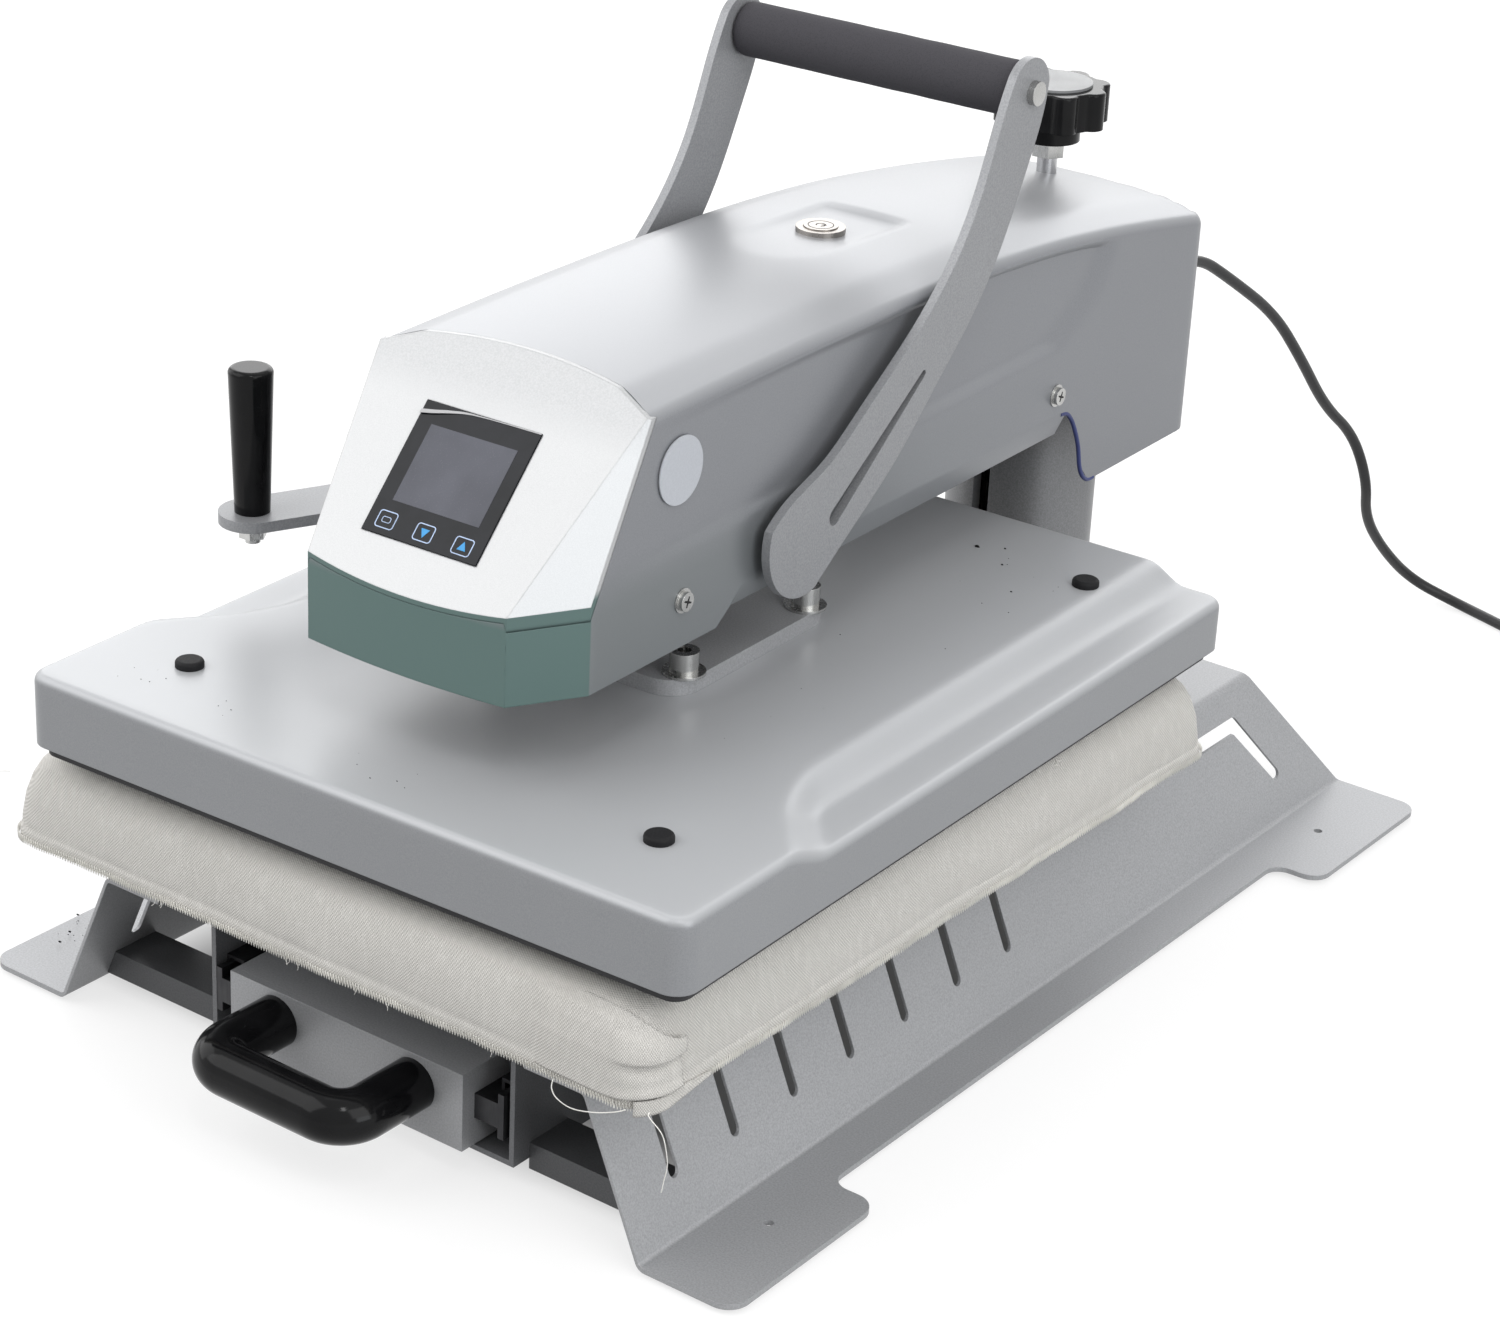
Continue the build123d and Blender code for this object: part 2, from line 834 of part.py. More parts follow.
def on_fascia(width, length, depth_from, depth_to):
    normal = fascia_normal()
    middle = Vector(display_x, (display_low[0] + display_high[0]) / 2, (display_low[1] + display_high[1]) / 2)
    start = Vector(0, head_front_y, fascia_low_z)
    middle = middle - normal * (middle - start).dot(normal)
    plane = Plane(origin=middle, x_dir=(1, 0, 0), z_dir=normal)
    return plane * (Pos(0, 0, (depth_from + depth_to) / 2) * Box(width, length, depth_to - depth_from))


def make_head_cover():
    w = head_half_w
    shell = head_form(0, fascia_t, head_rear_low_z) - head_form(head_wall, fascia_t + head_wall, head_rear_low_z - 10)
    low = head_rear_low_z - cut_margin
    lower = [(-400, low), (-400, head_low_z)] + list(side_ramp) + list(cutout_line)
    lower += [(400, head_rear_low_z), (400, low)]
    shell -= prism_x(lower, -w - 5, w + 5)
    t = head_wall
    lip = ((w, lip_crease_z), (w - lip_in, lip_low_z), (w - lip_in - t, lip_low_z), (w - t, lip_crease_z))
    for side in both_sides(prism_y(lip, lip_y[0], lip_y[1])):
        shell += side
    shell -= cyl_x(lever_y, lever_z, -w - 1, w + 1, shaft_r + shaft_hole_gap)
    rod_hole = screw_r + rod_slot_gap
    half = rod_slot_half - rod_hole
    roof = roof_height(column_y)
    for y in (column_y - half, column_y + half):
        shell -= cyl(0, y, roof - cut_margin, roof + cut_margin, rod_hole)
    shell -= box((-rod_hole, rod_hole), (column_y - half, column_y + half), (roof - cut_margin, roof + cut_margin))
    shell -= cyl(0, button_y, bezel_low_z, bezel_top, bezel_barrel_r)
    for y, z in side_screw_spots:
        shell -= cyl_x(y, z, -w - 1, w + 1, side_screw_r)
    shell -= cyl_y(gland_x, gland_z, head_rear_y - 20, head_rear_y + 1, gland_barrel_r)
    size = display_w - 2 * display_margin
    shell -= on_fascia(size, size, -fascia_t - 2 * head_wall, 0)
    return shell


def make_control_fascia():
    sheet = head_form(0, 0, head_rear_low_z) - head_form(0, fascia_t, head_rear_low_z)
    window = 2 * display_gap
    return sheet - on_fascia(display_w + window, display_length + window, -fascia_t, fascia_t)


def make_display_glass():
    return on_fascia(display_w, display_length, -fascia_t, display_proud)


def make_controller_box():
    depth = fascia_t + head_wall
    size = display_w - display_margin
    return on_fascia(size, size, -depth - controller_depth, -depth)


def make_side_screws():
    screws = []
    x0 = head_half_w
    for y, z in side_screw_spots:
        screw = cyl_x(y, z, x0, x0 + side_washer_t, side_washer_r)
        screw += cyl_x(y, z, x0 + side_washer_t, x0 + side_washer_t + side_screw_head_h, side_screw_head_r)
        screw += cyl_x(y, z, x0 - head_wall - bracket_t - 4, x0, side_screw_r)
        screws += both_sides(screw)
    return screws


def make_side_disc():
    y, z = side_disc_spot
    return cyl_x(y, z, head_half_w, head_half_w + side_disc_t, side_disc_r)


# Power button


def make_button_bezel():
    bezel = cyl(0, button_y, bezel_low_z, bezel_top, bezel_barrel_r)
    flange = cyl(0, button_y, bezel_top - bezel_flange_depth, bezel_top, bezel_r)
    y0, y1 = recess_y
    z0, z1 = recess_z
    flange -= prism_x(((y0, z0), (y1, z1), (y1, z1 - cut_margin), (y0, z0 - cut_margin)), -recess_half_w, recess_half_w)
    bezel += flange
    return bezel - cyl(0, button_y, bezel_low_z + bezel_floor, bezel_top, button_r + running_gap * 2)


def make_power_button():
    low = bezel_low_z + bezel_floor + button_travel + seat_gap
    return cyl(0, button_y, low, button_top, button_r)


# Swing arm


swing_z = (frame_plate_z - swing_t, frame_plate_z)
swing_angle = atan2(swing_end_at[1] - swing_grip_at[1], swing_end_at[0] - swing_grip_at[0])


def swing_point(along, aside):
    x = swing_grip_at[0] + along * cos(swing_angle) - aside * sin(swing_angle)
    y = swing_grip_at[1] + along * sin(swing_angle) + aside * cos(swing_angle)
    return x, y


def swing_bar(start, end, half, z):
    corners = [swing_point(start, -half), swing_point(end, -half), swing_point(end, half), swing_point(start, half)]
    bar = prism_z(corners, z[0], z[1])
    for along in (start, end):
        x, y = swing_point(along, 0)
        bar += cyl(x, y, z[0], z[1], half)
    return bar


def make_swing_arm():
    length = hypot(swing_end_at[0] - swing_grip_at[0], swing_end_at[1] - swing_grip_at[1])
    arm = swing_bar(0, length, swing_half_w, swing_z)
    arm -= swing_bar(swing_slot_from, swing_slot_to, swing_slot_w / 2, swing_z)
    return arm - cyl(swing_grip_at[0], swing_grip_at[1], swing_z[0], swing_z[1], swing_stud_r)


swing_stud_top = swing_grip_top - 12


def make_swing_grip():
    x, y = swing_grip_at
    grip = cone(x, y, swing_z[1], swing_grip_top, swing_grip_r[0], swing_grip_r[1])
    grip = fillet(grip.edges().sort_by(Axis.Z)[-1], 3)
    return grip - cyl(x, y, swing_z[1], swing_stud_top, swing_stud_r)


def make_swing_grip_nut():
    x, y = swing_grip_at
    low = swing_z[0] - swing_washer_t
    stud = cyl(x, y, low - swing_nut_h - 3, swing_stud_top, swing_stud_r)
    washer = cyl(x, y, low, swing_z[0], swing_washer_r) - cyl(x, y, low, swing_z[0], swing_stud_r)
    nut = hex_nut(x, y, low - swing_nut_h, low, swing_nut_flats, swing_stud_r)
    return [stud, washer, nut]


# Lever


def make_lever_plate():
    x = lever_x
    front = Spline(*[(x, y, z) for y, z in (lobe_high,) + lever_front + (lever_tip[0],)])
    tip = ThreePointArc(*[(x, y, z) for y, z in lever_tip])
    rear = Spline(*[(x, y, z) for y, z in (lever_tip[2],) + lever_rear + (lobe_low,)])
    lobe = ThreePointArc(*[(x, y, z) for y, z in (lobe_low, lobe_side, lobe_high)])
    edges = [edge for line in (front, tip, rear, lobe) for edge in line.edges()]
    plate = extrude(Face(Wire(edges)), lever_t, dir=(1, 0, 0))
    x1 = x + lever_t
    plate -= cyl_x(lever_slot_top[0], lever_slot_top[1], x, x1, lever_slot_top_r)
    plate -= cyl_x(lever_slot_low[0], lever_slot_low[1], x, x1, lever_slot_low_r)
    run = (lever_slot_low[0] - lever_slot_top[0], lever_slot_low[1] - lever_slot_top[1])
    length = hypot(*run)
    aside = (-run[1] / length, run[0] / length)
    corners = []
    for (y, z), r in ((lever_slot_top, lever_slot_top_r), (lever_slot_low, lever_slot_low_r)):
        corners.append([(y + aside[0] * r, z + aside[1] * r), (y - aside[0] * r, z - aside[1] * r)])
    plate -= prism_x([corners[0][0], corners[1][0], corners[1][1], corners[0][1]], x, x1)
    return plate - cyl_x(grip_y, grip_z, x, x1, grip_shank_r)


def make_lever_shaft():
    return cyl_x(lever_y, lever_z, -lever_x, lever_x, shaft_r)


cam_rise = platen_travel / radians(lever_travel_deg)


def make_cam():
    start = -90 + cam_lead_deg
    end = -90 - lever_travel_deg - cam_lead_deg
    spiral = []
    steps = 12
    for i in range(steps + 1):
        angle = start + (end - start) * i / steps
        r = cam_r + cam_rise * max(0, radians(-90 - angle))
        spiral.append((0, lever_y + r * cos(radians(angle)), lever_z + r * sin(radians(angle))))
    curve = Spline(*spiral)
    middle = radians((start + end + 360) / 2)
    top = (0, lever_y + cam_r * cos(middle), lever_z + cam_r * sin(middle))
    back = ThreePointArc(spiral[-1], top, spiral[0])
    face = Pos(-cam_half_w, 0, 0) * Face(Wire(list(curve.edges()) + list(back.edges())))
    lobe = extrude(face, 2 * cam_half_w, dir=(1, 0, 0))
    return lobe - cyl_x(lever_y, lever_z, -cam_half_w, cam_half_w, shaft_r)


def make_grip_rod():
    rod = cyl_x(grip_y, grip_z, -lever_x, lever_x, grip_rod_r)
    for x0, x1 in ((-lever_x, -lever_x + grip_shank_depth), (lever_x - grip_shank_depth, lever_x)):
        rod -= cyl_x(grip_y, grip_z, x0, x1, grip_shank_r)
    return rod


def make_foam_grip():
    sleeve = cyl_x(grip_y, grip_z, -lever_x, lever_x, grip_r)
    return sleeve - cyl_x(grip_y, grip_z, -lever_x, lever_x, grip_rod_r)


def make_grip_screws():
    x1 = lever_x + lever_t
    screw = cyl_x(grip_y, grip_z, x1, x1 + grip_head_h, grip_head_r)
    screw += cyl_x(grip_y, grip_z, lever_x - grip_shank_depth, x1, grip_shank_r)
    return both_sides(screw)


# Upper platen


cover_half_w = lower_platen_half_w + cover_overhang
cover_y = (platen_front - cover_overhang, platen_rear + cover_overhang)
shelf_z = cover_z[1] - shelf_depth
shelf_top_x = cover_half_w - shelf_top_w
shelf_floor_x = cover_half_w - shelf_floor_w
cover_inside_top = cover_z[1] - cover_wall
mounting_z = (cover_z[1], cover_z[1] + mounting_t)
block_top = lever_z - cam_r - cam_gap


def shelf_space(grow):
    floor = shelf_z - grow
    high = cover_z[1] + cut_margin
    lean = (shelf_floor_x - shelf_top_x) / shelf_depth
    far = cover_half_w + cut_margin
    side = (
        (shelf_floor_x - grow + lean * grow, floor),
        (far, floor),
        (far, high),
        (shelf_floor_x - grow - lean * (high - shelf_z), high),
    )
    inner_x = cover_half_w - shelf_front_inner[0]
    inner_y = cover_y[0] + shelf_front_inner[1]
    outer_x = cover_half_w - shelf_front_outer[0]
    outer_y = cover_y[0] + shelf_front_outer[1]
    steep = (outer_y - inner_y) / (outer_x - inner_x)
    rear = cover_y[1] + cut_margin
    plan = (
        (shelf_top_x - cut_margin, inner_y - grow),
        (inner_x + 4 - grow, inner_y - grow - 4),
        (far, outer_y - grow + steep * (far - outer_x)),
        (far, rear),
        (shelf_top_x - cut_margin, rear),
    )
    return prism_y(side, cover_y[0], rear) & prism_z(plan, floor, high)


def cover_form(inset, low):
    w = cover_half_w - inset
    body = rounded_block((-w, w), (cover_y[0] + inset, cover_y[1] - inset), (low, cover_z[1] - inset), cover_corner_r - inset)
    body = fillet(body.edges().group_by(Axis.Z)[-1], cover_top_r - inset)
    for side in both_sides(shelf_space(inset)):
        body -= side
    return body


def corner_spots():
    plug_x = shelf_top_x - plug_side_gap
    plug_y = lower_platen_half_l - plug_end_gap
    return [(x, platen_y + y) for x in (-plug_x, plug_x) for y in (-plug_y, plug_y)]


def cap_screw_spots():
    return [(x, platen_y + y) for x in (-cap_screw_x, cap_screw_x) for y in (-cap_screw_y, cap_screw_y)]


def make_heat_cover():
    cover = cover_form(0, cover_z[0]) - cover_form(cover_wall, cover_z[0] - 5)
    for x, y in corner_spots():
        cover -= cyl(x, y, cover_inside_top - 1, cover_z[1] + 1, plug_stem_r)
    for x, y in cap_screw_spots():
        cover -= cyl(x, y, cover_inside_top - 1, cover_z[1] + 1, cap_shank_r)
    return cover


def make_heating_plate():
    plate = rounded_block(
        (-lower_platen_half_w, lower_platen_half_w), (platen_front, platen_rear), heating_plate_z, cloth_corner_r / 2
    )
    for x, y in corner_spots() + cap_screw_spots():
        plate += cyl(x, y, heating_plate_z[1], cover_inside_top, boss_r)
    for x, y in cap_screw_spots():
        plate -= cyl(x, y, cover_inside_top - cap_shank_depth, cover_inside_top, cap_shank_r)
    return plate


def make_insulation():
    w = lower_platen_half_w - insulation_edge
    y = (platen_front + insulation_edge, platen_rear - insulation_edge)
    z = (heating_plate_z[1], heating_plate_z[1] + insulation_h)
    wool = box((-w, w), y, z)
    for x, y in corner_spots() + cap_screw_spots():
        wool -= cyl(x, y, z[0], z[1], boss_r)
    return wool


def make_corner_plugs():
    plugs = []
    for x, y in corner_spots():
        plug = cyl(x, y, cover_z[1], cover_z[1] + plug_dome_h, plug_r)
        plug = fillet(plug.edges().sort_by(Axis.Z)[-1], plug_dome_h * 0.5)
        plugs.append(plug + cyl(x, y, cover_inside_top, cover_z[1], plug_stem_r))
    return plugs


def make_mounting_plate():
    y = (platen_y - mounting_half_l, platen_y + mounting_half_l)
    plate = rounded_block((-mounting_half_w, mounting_half_w), y, mounting_z, mounting_corner_r)
    for x, y in cap_screw_spots():
        plate -= cyl(x, y, mounting_z[0], mounting_z[1], cap_shank_r)
    return plate


def make_platen_screws():
    screws = []
    for x, y in cap_screw_spots():
        head_z = mounting_z[1] + cap_washer_t
        screw = cyl(x, y, mounting_z[1], head_z, cap_washer_r)
        screw += cyl(x, y, head_z, head_z + cap_head_h, cap_head_r)
        screw += cyl(x, y, cover_inside_top - cap_shank_depth, mounting_z[1], cap_shank_r)
        screws.append(screw - cyl(x, y, head_z + cap_head_h - cap_socket_depth, head_z + cap_head_h, cap_socket_r))
    return screws


def make_push_block():
    y = (platen_y - block_half_y, platen_y + block_half_y)
    return box((-block_half_x, block_half_x), y, (mounting_z[1], block_top))


guide_nut_z = (guide_top_z - guide_nut_h, guide_top_z)


def make_guide_posts():
    posts = []
    for x, y in guide_spots():
        posts.append(cyl(x, y, mounting_z[1], guide_top_z, guide_r))
        nut = cyl(x, y, guide_nut_z[0], guide_nut_z[1], guide_nut_r)
        posts.append(nut - cyl(x, y, guide_nut_z[0], guide_nut_z[1], guide_r))
    return posts


def make_return_springs():
    springs = []
    low = base_plate_z[1] + guide_bush_flange
    for x, y in guide_spots():
        sleeve = cyl(x, y, low, guide_nut_z[0], guide_nut_r - 1)
        springs.append(sleeve - cyl(x, y, low, guide_nut_z[0], guide_r + 1))
    return springs


# Pressure knob


def make_pressure_knob():
    low, high = knob_z
    reach = knob_r - knob_lobe_r
    grip = Circle(reach + knob_web)
    for i in range(knob_lobes):
        angle = 2 * pi * i / knob_lobes
        grip += Pos(reach * cos(angle), reach * sin(angle)) * Circle(knob_lobe_r)
    grip = fillet(grip.vertices(), knob_web_r)
    knob = extrude(Pos(0, column_y, low) * grip, high - low)
    knob = fillet(knob.edges().group_by(Axis.Z)[-1], knob_edge_r)
    knob += cyl(0, column_y, low - knob_hub_h, low, knob_hub_r)
    return knob - cyl(0, column_y, low - knob_hub_h, high - 6, screw_r)


def make_knob_disc():
    return cyl(0, column_y, knob_z[1], knob_z[1] + knob_disc_t, knob_disc_r)


def make_pressure_screw():
    screw = cyl(0, column_y, screw_low_z, knob_z[1] - 6, screw_r)
    collar_top = top_plate_z[0] - thrust_gap
    return screw + cyl(0, column_y, collar_top - screw_collar_t, collar_top, screw_collar_r)


def make_lock_nuts():
    low = top_plate_z[1] + thrust_gap
    under_knob = knob_z[0] - knob_hub_h
    nuts = []
    for z0, z1 in ((low, low + lock_nut_h), (under_knob - lock_nut_h, under_knob)):
        nuts.append(hex_nut(0, column_y, z0, z1, lock_nut_flats, screw_r))
    return nuts


# Mains cord


def make_cable_gland():
    y = head_rear_y
    x, z = gland_x, gland_z
    gland = cyl_y(x, z, y - head_wall - 8, y, gland_barrel_r)
    gland += cyl_y(x, z, y - head_wall - 5, y - head_wall, gland_r)
    gland += cyl_y(x, z, y, y + gland_nut_t, gland_r)
    taper_l = gland_l - gland_nut_t
    taper = Pos(x, y + gland_nut_t + taper_l / 2, z) * Rot(-90, 0, 0) * Cone(gland_barrel_r, gland_tip_r, taper_l)
    return gland + taper


def bend_radii(points):
    radii = []
    share = 0.45
    for before, here, after in zip(points, points[1:], points[2:]):
        run_in = here - before
        run_out = after - here
        turn = radians(run_in.get_angle(run_out))
        radii.append(share * min(run_in.length, run_out.length) / tan(turn / 2))
    return radii


def swung(shape):
    return shape.rotate(Axis((0, column_y, 0), (0, 0, 1)), rest_swing_deg)


def gland_point(along):
    turn = radians(rest_swing_deg)
    y = head_rear_y + gland_l + along - column_y
    return Vector(gland_x * cos(turn) - y * sin(turn), column_y + gland_x * sin(turn) + y * cos(turn), gland_z)


def make_power_cord():
    points = [gland_point(0), gland_point(cord_first_run)] + [Vector(*p) for p in cord_route]
    radii = bend_radii(points)
    print("cord bend radii", [round(r) for r in radii])
    path = FilletPolyline(*points, radius=radii)
    heading = (points[1] - points[0]).normalized()
    tube = sweep(Plane(origin=points[0], z_dir=heading) * Circle(cord_r), path=path)
    length = sum(edge.length for edge in path.edges())
    print("cord tube length", round(length), "volume ratio", round(tube.volume / (pi * cord_r**2 * length), 4))
    return tube


coil_entry = Vector(*cord_route[-1])
coil_heading = (coil_entry - Vector(*cord_route[-2])).normalized()
coil_start = coil_entry + coil_heading * (2 * cord_r)
coil_centre = coil_start + Vector(-coil_heading.Y, coil_heading.X, 0) * coil_outer_r
coil_first_angle = atan2(coil_start.Y - coil_centre.Y, coil_start.X - coil_centre.X)


def coil_shape(angle):
    middle = pi * coil_turns
    away = angle - middle
    near = abs(away)
    if near < pi / 2:
        near = away * away / pi + pi / 4
    radius = coil_outer_r - coil_pitch / (2 * pi) * (middle - near)
    climb = min(1, max(0, away / pi + 0.5))
    height = coil_layer * climb * climb * (3 - 2 * climb)
    return radius, height


def coil_point(angle):
    radius, height = coil_shape(angle)
    turn = coil_first_angle + angle
    return coil_centre + Vector(radius * cos(turn), radius * sin(turn), height)


def coil_tangent(angle):
    step = 0.001
    low = max(0, angle - step)
    high = min(2 * pi * coil_turns, angle + step)
    if angle == 0:
        return coil_heading
    return (coil_point(high) - coil_point(low)).normalized()


def biarc(start, start_way, end, end_way):
    run = end - start
    both = start_way + end_way
    part = 2 * (1 - start_way.dot(end_way))
    root = sqrt(run.dot(both) ** 2 + part * run.dot(run))
    reach = (root - run.dot(both)) / part
    middle = (start + start_way * reach + end - end_way * reach) * 0.5
    first = Edge.make_tangent_arc(start, start_way, middle)
    middle_way = (end - end_way * reach - start - start_way * reach).normalized()
    return [first, Edge.make_tangent_arc(middle, middle_way, end)]


def coil_angles():
    steps = round(coil_turns * 4)
    return [2 * pi * coil_turns * i / steps for i in range(steps + 1)]


def coil_end():
    last = 2 * pi * coil_turns
    way = coil_tangent(last)
    way = Vector(way.X, way.Y, 0).normalized()
    return coil_point(last), way


def make_cord_coil():
    angles = coil_angles()
    last_point, last_way = coil_end()
    points = [coil_point(angle) for angle in angles]
    ways = [coil_tangent(angle) for angle in angles]
    ways[-1] = last_way
    edges = [Edge.make_line(coil_entry, coil_start)]
    for i in range(len(points) - 1):
        edges += biarc(points[i], ways[i], points[i + 1], ways[i + 1])
    edges.append(Edge.make_line(last_point, last_point + last_way * coil_tail))
    path = Wire(edges)
    length = sum(edge.length for edge in edges)
    coil = sweep(Plane(origin=coil_entry, z_dir=coil_heading) * Circle(cord_r), path=path)
    print("coil length", round(length), "volume ratio", round(coil.volume / (pi * cord_r**2 * length), 4))
    tightest = min(edge.radius for edge in edges if edge.geom_type == GeomType.CIRCLE)
    print("coil tightest radius", round(tightest, 1))
    samples = [edge.position_at((k + 0.5) / 6) for edge in edges for k in range(6)]
    spacing = []
    for i, here in enumerate(samples):
        for other in samples[i + 24:]:
            spacing.append((here - other).length)
    print("coil least gap", round(min(spacing) - 2 * cord_r, 2))
    return coil


def make_mains_plug():
    last_point, last_way = coil_end()
    start = last_point + last_way * coil_tail
    frame = Plane(origin=start, x_dir=last_way, z_dir=(0, 0, 1))
    body_l, body_w, body_h = plug_body
    taper = Pos(plug_taper_l / 2, 0, 0) * Rot(0, 90, 0) * Cone(gland_tip_r, body_h / 2 - 2, plug_taper_l)
    body = fillet(Box(body_l, body_w, body_h).edges(), plug_edge_r)
    centre_z = floor_z + body_h / 2 - start.Z
    plug = taper + Pos(plug_taper_l + body_l / 2 - 1, 0, centre_z) * body
    for side in (-1, 1):
        middle_x = plug_taper_l + body_l + blade_size[0] / 2 - 2
        plug += Pos(middle_x, side * blade_gap / 2, centre_z) * Box(*blade_size)
    return frame * plug


def right_and_left(name, shape):
    return {"right_" + name: shape, "left_" + name: mirrored(shape)}


STANDING = {
    **right_and_left("wing", make_wing()),
    "foot_pads": make_foot_pads(),
    "cross_tubes": make_cross_tubes(),
    "slide_channel": make_slide_channel(),
    "column_plate": make_column_plate(),
    "column_tube": make_column_tube(),
    "column_bushes": make_column_bushes(),
    "pressure_nut": make_pressure_nut(),
    "outer_rails": make_outer_rails(),
    "drawer_carriage": make_drawer_carriage(),
    "drawer_face": make_drawer_face(),
    "d_handle": make_d_handle(),
    "inner_rails": make_inner_rails(),
    "platen_support": make_platen_support(),
    "lower_platen": make_lower_platen(),
    "foam_pad": make_foam_pad(),
    "platen_cloth": make_platen_cloth(),
    "lift_post": make_lift_post(),
    "power_cord": make_power_cord(),
    "cord_coil": make_cord_coil(),
    "mains_plug": make_mains_plug(),
}

SWINGING = {
    "frame_base_plate": make_frame_base_plate(),
    "frame_side_plates": make_frame_side_plates(),
    "hub_sleeve": make_hub_sleeve(),
    "frame_top_plate": make_frame_top_plate(),
    "frame_bushes": make_frame_bushes(),
    "head_cover": make_head_cover(),
    "control_fascia": make_control_fascia(),
    "display_glass": make_display_glass(),
    "controller_box": make_controller_box(),
    "side_screws": make_side_screws(),
    "side_disc": make_side_disc(),
    "button_bezel": make_button_bezel(),
    "power_button": make_power_button(),
    "swing_arm": make_swing_arm(),
    "swing_grip": make_swing_grip(),
    "swing_grip_nut": make_swing_grip_nut(),
    "cable_gland": make_cable_gland(),
    **right_and_left("lever", make_lever_plate()),
    "lever_shaft": make_lever_shaft(),
    "cam": make_cam(),
    "grip_rod": make_grip_rod(),
    "foam_grip": make_foam_grip(),
    "grip_screws": make_grip_screws(),
    "push_block": make_push_block(),
    "mounting_plate": make_mounting_plate(),
    "platen_screws": make_platen_screws(),
    "heat_cover": make_heat_cover(),
    "insulation": make_insulation(),
    "heating_plate": make_heating_plate(),
    "corner_plugs": make_corner_plugs(),
    "guide_posts": make_guide_posts(),
    "return_springs": make_return_springs(),
    "pressure_knob": make_pressure_knob(),
    "knob_disc": make_knob_disc(),
    "pressure_screw": make_pressure_screw(),
    "lock_nuts": make_lock_nuts(),
}


def solids_of(shape):
    items = shape if isinstance(shape, list) else [shape]
    return [solid for item in items for solid in item.solids()]


def write_node(name, solids):
    piece = solids[0] if len(solids) == 1 else Compound(children=solids)
    export_step(piece, f"parts/{name}.step")


os.makedirs("parts", exist_ok=True)
for name, shape in STANDING.items():
    write_node(name, solids_of(shape))
for name, shape in SWINGING.items():
    write_node(name, [swung(solid) for solid in solids_of(shape)])
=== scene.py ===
import json
import random
from math import atan2, cos, hypot, pi, radians, sin, sqrt

import bmesh
import bpy
from mathutils import Matrix, Vector, noise


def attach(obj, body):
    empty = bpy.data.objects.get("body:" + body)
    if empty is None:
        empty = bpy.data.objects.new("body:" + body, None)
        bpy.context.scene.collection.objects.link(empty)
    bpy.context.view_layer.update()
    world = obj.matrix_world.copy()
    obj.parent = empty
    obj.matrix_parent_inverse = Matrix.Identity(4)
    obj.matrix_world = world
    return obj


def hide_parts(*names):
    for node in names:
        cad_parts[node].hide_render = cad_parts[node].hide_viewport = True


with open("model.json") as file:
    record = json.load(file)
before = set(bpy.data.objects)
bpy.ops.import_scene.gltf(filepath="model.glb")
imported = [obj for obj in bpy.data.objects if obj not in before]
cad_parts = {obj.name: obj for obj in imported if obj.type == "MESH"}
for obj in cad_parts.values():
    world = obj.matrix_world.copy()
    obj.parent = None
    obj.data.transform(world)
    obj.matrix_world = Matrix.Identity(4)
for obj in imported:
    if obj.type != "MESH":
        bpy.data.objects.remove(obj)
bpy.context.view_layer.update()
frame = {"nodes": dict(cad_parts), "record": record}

# Swing-away heat press with a pull-out drawer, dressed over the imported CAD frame
# Lengths are in metres, in the row frame: +X right, -Y front, +Z up
# The head stands turned about the column, so its own pieces are made straight and turned at the end
mm = 0.001
head_turn = radians(1.7)
column_axis = Vector((0.0, 0.265, 0.0))
about_column = Matrix.Rotation(head_turn, 4, "Z")
HEAD_TURN = Matrix.Translation(column_axis) @ about_column @ Matrix.Translation(-column_axis)

# Camera, as in the photograph
camera_at = (1.06145, -1.49127, 0.98027)
camera_azimuth = radians(35.5747)
camera_elevation = radians(24.8078)
camera_roll = radians(2.8884)
camera_lens = 86.7238
camera_sensor = 36.0
camera_reach = 60.0

# Room
floor_level = -0.003
floor_size = 16.0
horizon_level = 0.42
zenith_level = 0.85
floor_glow = 0.72
shaded_floor_glow = 0.04
# Under the press the floor doesn't glow: half widths where the glow starts and is full, round a middle
shade_half_x = (0.155, 0.205)
shade_half_y = (0.21, 0.29)
shade_middle_y = -0.03


def value(node, name, number):
    node.inputs[name].default_value = number


